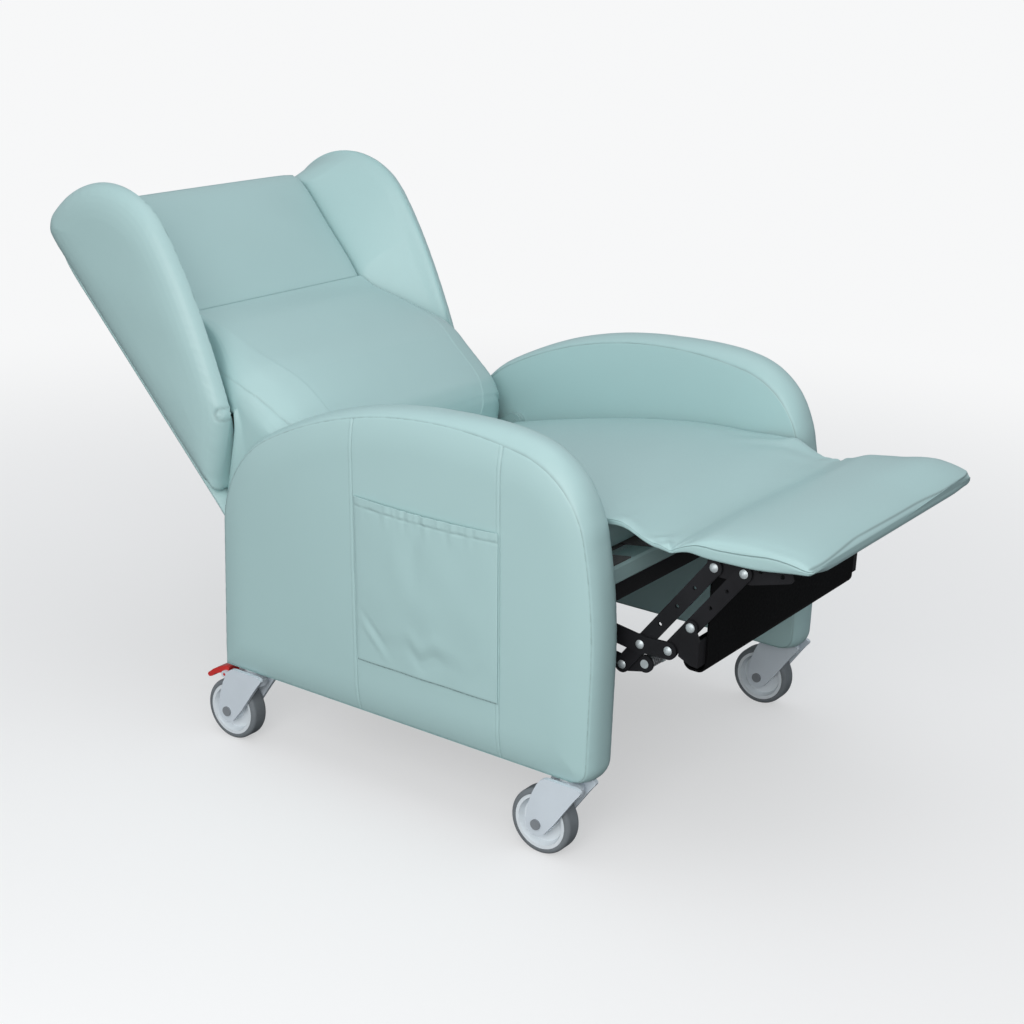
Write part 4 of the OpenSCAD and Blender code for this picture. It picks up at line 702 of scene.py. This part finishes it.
def lumbar_rings():
    """Sections of the lumbar cushion from its foot to the head seam, as [half width, out, up]. The
    foot is round about the back's pivot; above it the sides spread and wrap the frame. The front
    corners are widely rounded."""
    up = np.array([-4.6, -1.5, 6, 22.4, 35, 46, 58, 69, 72, 82, 97, 115, 135, 155, 180, 203.5, 206.5, 220, 240, 265,
                   290, 318, 345,
                   368, 384, 392, 397.1])
    round_foot = 70.3 + np.sqrt(np.maximum(27.0 ** 2 - (up - 22.4) ** 2, 0))
    table = np.interp(up, [35, 56, 73, 95, 155, 204, 233, 318, 368, 392, 397.1],
                      [95, 112, 119, 122, 114, 106, 97, 54, 26, 15.8, 13.4])
    front = np.where(up <= 35, round_foot, table)
    under = np.clip(-69.2 + (up - 123) / 0.713, -77.2, 33)
    start = np.where(up > 205, 9, np.where(up > 71, under, -15))
    start = np.minimum(start, front - 20)
    wide = np.where(up > 71, 278 + (head_half(up) + 1 - 278) * ease((up - 210) / 170), 265.0)
    wide = wide - 4 * (up < 0) - 2 * (up > 395)
    bend = np.interp(up, [0, 22, 46, 60, 69, 72, 85, 100, 115, 135, 155, 180, 205, 220, 240, 265, 290, 318, 345, 397],
                     [50, 70, 72, 65, 64, 71, 68, 64, 60, 58, 57.5, 56, 52, 48, 41.5, 33, 25, 17.5, 11, 3])
    flank = np.minimum(start + np.where(up > 71, 0.8, 4), front - bend - 2)
    crown = 12 * ease((up - 35) / 65) * ease((HEAD_SEAM - up) / 50)
    o = np.ones_like(up)
    half = [
        (105 * o, FRAME_FRONT * o), (204 * o, FRAME_FRONT * o), (210 * o, -20.5 * o),
        (211 * o, np.minimum(start, front - 12)), (wide, flank),
        (wide + 0.6, 0.5 * (flank + front - bend)), (wide + 0.2, front - bend),
        (wide - 0.1 * bend, front - 0.7 * bend),
        (wide - 0.3 * bend, front - 0.46 * bend), (wide - 0.74 * bend, front - 0.15 * bend)]
    flat = wide - 1.4 * bend
    half += [(flat * q, front + crown * (1 - 0.8 * q ** 3)) for q in (1.0, 0.95, 0.88, 0.75, 0.55, 0.3)]
    return mirrored(half, front + crown, FRAME_FRONT * o, up)


def lumbar():
    """The lumbar cushion: its sections smoothed through their corners and along the back. A seam
    wanders down each rounded corner, with small gathers beside it, and slack folds cross the face."""
    rings = lumbar_rings()
    close = np.arange(4.8, 9.4, 0.07)
    at = np.unique(np.round(np.concatenate([np.arange(34 * 5) / 5, close, 32 - close]), 4))
    at = at[np.concatenate([[True], np.diff(at) > 0.02])]
    rows = np.concatenate([spline(rings[:8], 5), spline(rings[8:16], 5), spline(rings[16:], 6)])
    skin = spline(rows, closed=True, axis=1, at=at)
    x, out, height = skin[..., 0], np.maximum(skin[..., 1], FRAME_REAR), skin[..., 2]
    room = wing_in(out, height) - 1.0 + 60 * ease((205 - height) / 3)
    kept = -3.0 * np.log(np.exp(-np.abs(x) / 3.0) + np.exp(-room / 3.0))
    x = np.where(np.abs(x) > 150, np.sign(x) * kept, x)
    index = np.minimum(at, 32 - at)[None]
    seam_at = np.interp(height, [20, 60, 95, 133, 150, 174, 198, 211, 234, 259, 288],
                        [8.7, 8.6, 8.45, 8.3, 8.15, 8.0, 7.75, 7.45, 6.9, 5.9, 4.9])
    off = (index - seam_at) * 18.0
    strength = ease((height - 30) / 20) * ease((310 - height) / 20)
    line = bell(off, 1.3)
    gathers = ripple(height + 40 * np.sign(x), 2.0, 13.0) * np.exp(-np.abs(off) / 8.0)
    lift = -(1.3 * line - 0.45 * gathers) * strength
    # painted shade along the corner seam, uneven along it
    mask = 0.34 * line * strength * (0.8 + 0.3 * ripple(height, 1.0, 63.0))
    face = ease((WING_HALF - np.abs(x)) / 60 - 0.2)
    slack = np.sin((height - 0.22 * np.abs(x)) / 19.0 + 0.4) * bell(height - 150, 60) * ease((np.abs(x) - 90) / 120)
    broad = (0.8 * np.sin(x / 75.0 + 0.5) * np.sin(height / 41.0) * ease((height - 90) / 50)
             * ease((380 - height) / 40))
    lift = lift + (0.7 * slack + broad) * face
    tilt = np.clip((np.abs(x) - 200) / 78, 0, 1) * 0.7
    corner = ease((index - 5.2) / 1.0)
    out = out + lift * corner
    x = x + lift * np.sign(x) * tilt * corner
    shell = Shell()
    shell.tube(place_back(x, out, height), mask, flip=True)
    shell.build("lumbar_cushion_cover", "vinyl", "back", ["lumbar_cushion"])


def headrest():
    """The headrest: closed sections up the back, as the lumbar's, whose last ones roll over the
    frame's top rail and down behind it."""
    up, base, front, drawn, crown = np.array([
        [397.4, -27.5, 13.1, 1.2, 0], [398.6, -27.5, 14.1, 0.5, 0], [403, -27.5, 14.9, 0.2, 0.6],
        [415, -27.5, 15.4, 0, 2.4], [450, -27.5, 16, 0, 6],
        [500, -27.5, 16, 0, 8.5], [550, -27.5, 15.5, 0, 8.5], [590, -27.5, 14, 0, 7], [612, -27.5, 11, 0, 5],
        [626, -27.5, 5, 0, 3],
        [630.2, -27.5, 2, 0, 2], [630.9, -77.6, 1.5, 0, 2], [638, -77.6, -8, 0.5, 1], [644, -76, -20, 2, 0],
        [648, -68, -33, 5, 0]]).T
    w = head_half(up) - drawn
    deep = front - base
    half = [(0.5 * w, base), (w - 3, base), (w, base + 0.2 * deep), (w, base + 0.5 * deep),
            (w - 1, front - 0.3 * deep),
            (w - 6, front - 5), (w - 16, front - 1.5), (w - 40, front + 0.2 * crown), (0.5 * w, front + 0.8 * crown)]
    skin = spline(spline(mirrored(half, front + crown, base, up), 6), 8, closed=True, axis=1)
    x, out, height = skin[..., 0], skin[..., 1], np.clip(skin[..., 2], 397.4, 649)
    floor = np.where(height < 630.4, FRAME_FRONT, FRAME_REAR - 0.1)
    soft = ease((out + 5) / 10) * ease((height - 405) / 30) * ease((610 - height) / 40)
    out = out + soft * (0.9 * np.sin(x / 83.0 + 1.3) * np.sin(height / 37.0) + 0.5 * np.sin((x + height) / 31.0))
    out = np.maximum(out, floor)
    shell = Shell()
    # painted shade along the head seam, on the headrest's front
    shell.tube(place_back(x, out, height), 0.16 * bell(height - 398.0, 0.9) * (out > -10), flip=True)
    shell.build("headrest_cover", "vinyl", "back", ["headrest_cushion"])


def outside_back():
    """The outside back: the panel's outline drawn in by steps as it swells rearward, with a seam
    round its edge."""
    edge = np.array([[272, 20.5], [272, 40], [272, 58], [301, 75], [303, 110], [303, 200], [303, 300], [303, 400],
                     [303, 500], [303, 550],
                     [300, 585], [292, 608], [276, 626], [255, 637], [200, 640], [120, 640], [50, 640]], float)
    full = np.concatenate([edge, edge[::-1] * [-1, 1]])
    line = along(np.concatenate([spline(full, 4), [[-272, 20.5], [-150, 20.5], [0, 20.5], [150, 20.5], [272, 20.5]]]),
                 380)[:-1]
    swell = np.array([[0, 0], [0, 1.6], [0.4, 3.2], [1.6, 4.6], [3, 5.2], [4, 4.4], [5, 4.3], [7, 5.6], [11, 6.8],
                      [20, 7.4], [45, 7.9], [90, 8.0], [150, 8.0]])
    rings = spline(swell, 3)
    middle = np.array([0.0, 330.0])
    reach = np.linalg.norm(line - middle, axis=1, keepdims=True)
    clear = np.minimum(1.0, (reach - 20) / 170)
    spot = line[None] - ((line - middle) / reach)[None] * (rings[:, 0, None, None] * clear[None])
    out = -78.4 - np.broadcast_to(rings[:, 1, None], spot.shape[:2])
    shell = Shell()
    points = place_back(spot[..., 0], out, spot[..., 1])
    # painted shade along the seam round the outside back's edge
    shell.grid(points, 0.7 * bell(rings[:, :1] - 4.5, 1.0), wrap=True, flip=True)
    shell.cap(points[-1], flip=True)
    shell.cap(points[0])
    shell.build("outside_back_cover", "vinyl", "back", ["outside_back"])


# Seat and footrest ----------------------------------------------------------------------------

def chaise_rows():
    """Stations from the seat's rear to the footrest's front: forward, half width, top middle,
    top edge, side seam and the side's lower edge."""
    return np.array([
        # forward, half, top, edge, seam, under
        [108.5, 268, 413, 408, 380, 345], [112, 272, 421, 414, 384, 341], [122, 275, 428, 421, 392, 341.5],
        [150, 276, 436, 428, 398, 346],
        [200, 276, 449, 440, 408, 353.5], [260, 276, 463, 453, 420, 362.5], [330, 276, 477, 467, 432, 373],
        [400, 276, 489, 479, 445, 383.5],
        [470, 276, 497.5, 488, 456, 394], [530, 276, 501, 492, 468, 403], [560, 275.5, 500.5, 492, 477, 410],
        [585, 274, 499.5, 492.5, 484, 416],
        [600, 271.5, 498.5, 493, 488, 424], [611, 269, 497.8, 494, 490, 442], [618, 267.6, 497, 494.6, 491.4, 468],
        [625, 267, 496.4, 495, 492.2, 481.5],
        [638, 266.6, 495, 495.4, 492.8, 484.4], [656, 266.4, 491.5, 496, 493.6, 485.4],
        [668, 266, 488, 492.6, 490, 483.4], [679, 266, 484.4, 488, 485.4, 479.5],
        [693, 265.5, 480.4, 481.6, 479, 473.4], [707, 265, 477.6, 477.2, 474.7, 468.6],
        [720, 265, 476.6, 476, 473.4, 467], [730, 265.4, 477.4, 474.2, 471.2, 466],
        [737, 265.6, 479.2, 473, 469.8, 465.4], [745, 265.8, 482, 477, 473.8, 467.6],
        [754, 266, 486.4, 482.6, 478.6, 470.6], [764, 266.2, 491.6, 488.2, 482.6, 472.4],
        [775, 266.5, 497, 493.6, 486, 472],
        [788, 266.8, 502.6, 497.6, 487, 470.6], [808, 267, 508.6, 500, 486.8, 470.4],
        [834, 267, 513.6, 503.4, 488.2, 470.8], [860, 267, 516, 505, 490.8, 471.4],
        [882, 267, 515.4, 504.8, 493.4, 472], [902, 266.8, 513, 503.4, 493.2, 472.6],
        [918, 266.6, 509.6, 501, 491.4, 473.2], [931, 266.4, 505, 497.4, 489.2, 473.8],
        [939.5, 266, 500.5, 494, 488.2, 474.6], [945, 265, 496, 491.4, 488.4, 478],
        [947.4, 263.6, 492.6, 490.4, 489, 484]])


def chaise():
    """The long pad of seat, calf and footrest: at each station a closed section with a seam at
    each side, smoothed across and along, with wrinkles where the slack calf part bends."""
    forward, half, top, edge, seam, under = chaise_rows().T
    rise = edge - seam
    drop = seam - under
    # the footrest's pad is open below, round its board
    floor = np.where(forward > 760, np.maximum(under, 474.85), under)
    inner = half - 12.5
    side = [
        (0.5 * half, floor), (inner - 6, floor), (inner, floor), (inner + 3.5, 0.5 * (floor + under)),
        (half - 5, under), (half - 1.2, under + 0.14 * drop),
        (half, under + 0.52 * drop), (half, seam), (half - 1.6, seam + 0.36 * rise), (half - 6, seam + 0.74 * rise),
        (half - 15, edge), (half - 34, edge + 0.40 * (top - edge)), (0.72 * half, edge + 0.74 * (top - edge)),
        (0.36 * half, edge + 0.95 * (top - edge))]
    rows = spline(mirrored(side, top, floor, forward), 6)
    # the places round the ring of the two side seams
    spots = (7.0, 21.0)
    at = places(rows.shape[1], 8, spots, 0.5)
    skin = spline(rows, closed=True, axis=1, at=at)
    x, height, along_chair = skin[..., 0], skin[..., 1], skin[..., 2]
    upper = (ease((at - 7.6) / 1.6) * ease((20.4 - at) / 1.6))[None]
    calf = bell(along_chair - 708, 55)
    wide_off = 266 - np.abs(x)
    # long soft folds across the calf part, which deepen toward its two edges
    folds = (1.7 * np.sin((along_chair - 640) / 13.5 + 0.9 * np.sin(x / 70.0)) * bell(wide_off, 75)
             + 1.0 * np.sin((along_chair + 0.35 * x) / 19.0 + 1.0)
             + 0.9 * np.sin((along_chair - 0.28 * x) / 26.0 + 2.2))
    height += 1.2 * folds * calf * upper
    # pulls that fan out from the knots where the slack part is caught to the footrest
    reach = np.stack([along_chair - 738, wide_off + 6], -1)
    far = np.linalg.norm(reach, axis=-1)
    fan = np.arctan2(reach[..., 1], reach[..., 0])
    height += 1.2 * np.sin(7.0 * fan + 0.7 * np.sign(x)) * bell(far - 20, 17) * upper
    height -= 1.5 * bell(far, 12) * upper
    # small puckers where the slack part is gathered just behind the knot
    pucker = np.sin((along_chair - 0.5 * wide_off) / 4.6) * bell(along_chair - 716, 20) * bell(wide_off - 18, 15)
    height += 1.5 * pucker * (x < 0) * upper
    pull = (along_chair - 790) * 0.8 + wide_off * 0.6
    height += 0.9 * np.sin(pull / 13.0) * bell(along_chair - 790, 32) * bell(wide_off - 16, 45) * upper
    # the far edge hangs slack: folds that run in from it beside the panel's front
    slack = np.sin((along_chair + 1.1 * wide_off) / 13.0) * bell(wide_off - 40, 40) * bell(along_chair - 640, 62)
    slack = (slack + 0.6 * np.sin((along_chair + 0.2 * wide_off) / 8.0 + 1.0) * bell(wide_off - 20, 30)
             * bell(along_chair - 650, 40))
    height += 2.0 * slack * ease(x / 60) * upper
    seat = ease((along_chair - 330) / 160) * ease((660 - along_chair) / 60)
    height += 0.9 * np.sin(x / 58.0 + 1.2 * np.sin(along_chair / 80.0)) * seat * upper * bell(x, 230)
    foot = ease((along_chair - 790) / 30) * ease((930 - along_chair) / 30)
    height += foot * upper * (0.7 * np.sin(x / 49.0 + along_chair / 90.0)
                               + 0.5 * np.sin(along_chair / 23.0 + x / 120.0))
    # the footrest's front corners are pinched thin from below, its far one plump on top
    pinch = ease((along_chair - 855) / 85) * ease((np.abs(x) - 205) / 55) * np.where(x < 0, 1.0, 0.4)
    height += 0.85 * pinch * np.clip(487 - height, 0, 8)
    plump = ease((x - 60) / 170) * ease((along_chair - 838) / 62) * np.clip((height - 488.5) / 4, 0, 1)
    height += 9.0 * plump + 3.5 * bell(along_chair - 730, 24) * ease(x / 170) * upper
    along_chair = along_chair + 2.5 * plump
    # the side seam: a groove with small gathers, and painted shade along it
    gathers = ripple(along_chair, 3.0, 15.0)
    mask = np.zeros(x.shape)
    for spot, sign in zip(spots, (1, -1)):
        off = (at - spot)[None] * 11.0
        line = bell(off, 1.2)
        close = bell(off, 8.0)
        x = x - sign * (1.3 * line - 0.5 * gathers * close * calf)
        height += 0.5 * gathers * close * (0.25 + calf)
        mask = np.maximum(mask, 0.8 * line)
    # painted shade at the footrest's front end
    end = bell(along_chair - 947, 3.0) * bell(height - 489.5, 2.0)
    mask = np.maximum(mask, 0.7 * end)
    # the seam round the footrest's front, drawn only as a line of painted shade
    seam_height = np.interp(x, [-267, -217, -127, 0, 150, 262], [491, 493.7, 499, 498, 497.6, 500])
    front_seam = bell(height - seam_height, 1.1) * ease((along_chair - 938) / 4)
    mask = np.maximum(mask, 0.75 * front_seam)
    shell = Shell()
    shell.tube(place(x, along_chair, height), mask)
    piece = shell.build("seat_and_footrest_pad", "vinyl", None, ["seat_cushion", "calf_panel", "footrest_pad"])
    tuple(place(0.0, BEND_START, BEND_HEIGHT))
    tuple(place(0.0, BEND_END, BEND_HEIGHT))
    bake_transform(piece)


# Linkage --------------------------------------------------------------------------------------

def rivet_caps():
    """Bright domes over the rivets between the front links and the gusset plates: circles that
    shrink by the cosine of an angle while they rise by its sine."""
    turn = np.linspace(0, 2 * math.pi, 49)[:-1]
    rise = np.radians([0, 4, 12, 22, 34, 46, 58, 70, 80])[:, None]
    shell = Shell()
    for side in (-1, 1):
        reach = np.concatenate([[[RIVET_CAP[0]]], RIVET_CAP[0] * np.cos(rise)])
        swell = np.concatenate([[[-0.8]], RIVET_CAP[1] * np.sin(rise)])
        shell.tube(place(side * (GUSSET_RIVET[0] + swell), GUSSET_RIVET[1] + reach * np.cos(turn),
                         GUSSET_RIVET[2] + reach * np.sin(turn)), flip=side < 0)
    caps = shell.build("gusset_rivet_caps", "zinc", "front_links")


# Settings and operators -----------------------------------------------------------------------

class ReclinerLooks(bpy.types.PropertyGroup):
    """Sizes in millimetres and colours that a maker of this chair would change."""
    vinyl: bpy.props.FloatVectorProperty(
        name="Vinyl", description="Colour of the covers", subtype="COLOR", size=3, default=(0.405, 0.588, 0.590),
        min=0, max=1)
    band_swell: bpy.props.FloatProperty(
        name="Arm band swell", description="How far the arm's padded band swells past its seams, in millimetres",
        default=8.0, min=0, max=14)
    face_swell: bpy.props.FloatProperty(
        name="Side face swell", description="How far a side panel's outer face swells past its seam, in millimetres",
        default=8.0, min=0, max=14)
    pucker: bpy.props.FloatProperty(
        name="Seam pucker", description="Height of the small ripples beside seams, in millimetres", default=0.6,
        min=0, max=2)
    rear_seam: bpy.props.FloatProperty(
        name="Rear seam", description="Forward place of the rear upright seam on the side panel, in millimetres",
        default=262.5, min=200, max=320)
    front_seam: bpy.props.FloatProperty(
        name="Front seam", description="Forward place of the front upright seam on the side panel, in millimetres",
        default=523.5, min=460, max=560)


# Lamps: name, place in metres, diameter, power and colour. They all face one point of the chair.
LAMPS = (("key", (-3.5, -1.9, 2.3), 3.0, 80.0, (1.0, 0.99, 0.97)),
         ("side", (-2.3, -0.5, 0.9), 1.6, 12.0, (1.0, 0.99, 0.98)),
         ("top", (-0.2, -0.4, 3.6), 3.0, 20.0, (1.0, 1.0, 1.0)),
         ("rim", (2.6, -2.6, 2.4), 2.0, 4.0, (0.96, 0.98, 1.0)))
LIT_POINT = np.array([0, 0, 0.45])
# Camera: its place as x, forward and height in millimetres, its yaw, pitch and roll in degrees
CAMERA_AT = (-2286.6, 1867.2, 1291.2)
CAMERA_TURN = (55.47, 18.57, 2.08)
LENS, SENSOR = 63.98, 36.0
# the pale grey that the camera sees behind the chair
BACKDROP = (0.93, 0.935, 0.94, 1)
FLOOR_HALF = 14.0


def aimed(right, up, back, at):
    """The matrix of an object that looks against its back axis."""
    turn = np.eye(4)
    turn[:3, 0], turn[:3, 1], turn[:3, 2], turn[:3, 3] = right, up, back, at
    return Matrix(turn.tolist())


def make_floor():
    """A wide floor that fades into the backdrop with distance, for the camera alone."""
    mesh = bpy.data.meshes.new("floor")
    r = FLOOR_HALF
    mesh.from_pydata([(-r, -r, 0), (r, -r, 0), (r, r, 0), (-r, r, 0)], [], [(0, 1, 2, 3)])
    floor = bpy.data.objects.new("floor", mesh)
    bpy.context.scene.collection.objects.link(floor)
    made = bpy.data.materials.new("Pale floor")
    made.use_nodes = True
    tree = made.node_tree
    shader = tree.nodes["Principled BSDF"]
    path = add(tree, "LightPath")
    tone = add(tree, "Mix", data_type="RGBA")
    tone.inputs[6].default_value = (0.14, 0.142, 0.145, 1)
    tone.inputs[7].default_value = (0.86, 0.865, 0.87, 1)
    shader.inputs["Roughness"].default_value = 0.9
    shader.inputs["Specular IOR Level"].default_value = 0.2
    glow = add(tree, "Emission", Color=BACKDROP)
    where = add(tree, "TexCoord")
    length = add(tree, "VectorMath", operation="LENGTH")
    fade = add(tree, "MapRange", interpolation_type="SMOOTHSTEP", From_Min=0.9, From_Max=3.0, To_Min=0.5)
    seen = add(tree, "Math", operation="MULTIPLY")
    mix = add(tree, "MixShader")
    wire(tree, (path, "Is Camera Ray", tone, 0), (tone, 2, shader, "Base Color"), (where, "Object", length, 0),
         (length, "Value", fade, "Value"), (fade, "Result", seen, 0), (path, "Is Camera Ray", seen, 1),
         (seen, 0, mix, 0), (shader, 0, mix, 1), (glow, 0, mix, 2),
         (mix, 0, tree.nodes["Material Output"], "Surface"))
    mesh.materials.append(made)


def make_world():
    """A cool room light, and the plain backdrop where the camera looks past the floor."""
    world = bpy.data.worlds.new("Pale room")
    bpy.context.scene.world = world
    world.use_nodes = True
    tree = world.node_tree
    back = tree.nodes["Background"]
    back.inputs["Color"].default_value = (0.93, 0.96, 1.0, 1)
    back.inputs["Strength"].default_value = 0.52
    mix = add(tree, "MixShader")
    wire(tree, (add(tree, "LightPath"), "Is Camera Ray", mix, 0), (back, 0, mix, 1),
         (add(tree, "Background", Color=BACKDROP), 0, mix, 2), (mix, 0, tree.nodes["World Output"], "Surface"))


def make_lamps():
    """Four round soft lamps."""
    for label, spot, size, power, tone in LAMPS:
        lamp = bpy.data.lights.new(label, "AREA")
        lamp.shape = "DISK"
        lamp.size, lamp.energy, lamp.color = size, power, tone
        held = bpy.data.objects.new(label, lamp)
        bpy.context.scene.collection.objects.link(held)
        at = np.array(spot)
        back = (at - LIT_POINT) / np.linalg.norm(at - LIT_POINT)
        right = np.cross([0, 0, 1.0], back)
        right /= np.linalg.norm(right)
        held.matrix_world = aimed(right, np.cross(back, right), back, at)


def make_camera():
    """The camera that was fitted to the photograph."""
    scene = bpy.context.scene
    camera = bpy.data.objects.new("camera", bpy.data.cameras.new("camera"))
    scene.collection.objects.link(camera)
    camera.data.sensor_width, camera.data.lens, camera.data.clip_end = SENSOR, LENS, 60.0
    yaw, pitch, roll = (math.radians(a) for a in CAMERA_TURN)
    look = np.array([math.sin(yaw) * math.cos(pitch), math.cos(yaw) * math.cos(pitch), -math.sin(pitch)])
    right = np.array([math.cos(yaw), -math.sin(yaw), 0])
    up = np.cross(right, look)
    camera.matrix_world = aimed(math.cos(roll) * right + math.sin(roll) * up,
                                -math.sin(roll) * right + math.cos(roll) * up, -look, place(*CAMERA_AT))
    scene.camera = camera


class RECLINER_OT_stage(bpy.types.Operator):
    """Makes the floor, the soft lamps and the camera"""
    bl_idname = "recliner.stage"
    bl_label = "Stage and camera"

    def execute(self, context):
        make_floor()
        make_world()
        make_lamps()
        make_camera()
        context.scene.view_settings.view_transform = "Standard"
        return {"FINISHED"}


class RECLINER_OT_side_panels(bpy.types.Operator):
    """Makes the two padded side panels with their seams"""
    bl_idname = "recliner.side_panels"
    bl_label = "Side panels"

    def execute(self, context):
        side_panel(-1, "side_panel_right", "side_cover_right")
        side_panel(1, "side_panel_left", "side_cover_left")
        return {"FINISHED"}


class RECLINER_OT_pocket(bpy.types.Operator):
    """Makes the gathered pocket on the sitter's right"""
    bl_idname = "recliner.pocket"
    bl_label = "Side pocket"

    def execute(self, context):
        pocket()
        return {"FINISHED"}


class RECLINER_OT_backrest(bpy.types.Operator):
    """Makes the lumbar cushion, the headrest, both wings and the outside back"""
    bl_idname = "recliner.backrest"
    bl_label = "Backrest"

    def execute(self, context):
        lumbar()
        headrest()
        wing(-1, "wing_right_cover", "wing_right")
        wing(1, "wing_left_cover", "wing_left")
        outside_back()
        return {"FINISHED"}


class RECLINER_OT_chaise(bpy.types.Operator):
    """Makes the long pad of seat, calf and footrest"""
    bl_idname = "recliner.chaise"
    bl_label = "Seat and footrest pad"

    def execute(self, context):
        chaise()
        return {"FINISHED"}


class RECLINER_OT_rivet_caps(bpy.types.Operator):
    """Makes the bright caps of the gusset plates' rivets"""
    bl_idname = "recliner.rivet_caps"
    bl_label = "Rivet caps"

    def execute(self, context):
        rivet_caps()
        return {"FINISHED"}


class RECLINER_OT_finishes(bpy.types.Operator):
    """Gives the steel, timber, webbing and caster pieces their finishes"""
    bl_idname = "recliner.finishes"
    bl_label = "Finishes"

    def execute(self, context):
        for kind, names in CARRIED.items():
            for name in names:
                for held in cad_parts[name].material_slots:
                    held.material = finish_of(kind)
        return {"FINISHED"}


class RECLINER_PT_panel(bpy.types.Panel):
    """Lists the chair's operators and looks"""
    bl_label = "Recliner"
    bl_space_type = "VIEW_3D"
    bl_region_type = "UI"
    bl_category = "Recliner"

    def draw(self, context):
        for made in OPERATORS:
            self.layout.operator(made.bl_idname)
        for key in ReclinerLooks.__annotations__:
            self.layout.prop(context.scene.recliner_looks, key)


OPERATORS = (RECLINER_OT_stage, RECLINER_OT_side_panels, RECLINER_OT_pocket, RECLINER_OT_backrest, RECLINER_OT_chaise,
             RECLINER_OT_rivet_caps, RECLINER_OT_finishes)


def register():
    for made in (ReclinerLooks, *OPERATORS, RECLINER_PT_panel):
        bpy.utils.register_class(made)
    bpy.types.Scene.recliner_looks = bpy.props.PointerProperty(type=ReclinerLooks)


def unregister():
    del bpy.types.Scene.recliner_looks
    for made in reversed((ReclinerLooks, *OPERATORS, RECLINER_PT_panel)):
        bpy.utils.unregister_class(made)


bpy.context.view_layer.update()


def main():
    """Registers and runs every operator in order."""
    register()
    for name in ("stage", "side_panels", "pocket", "backrest", "chaise", "rivet_caps", "finishes"):
        getattr(bpy.ops.recliner, name)()


if __name__ == "__main__":
    main()
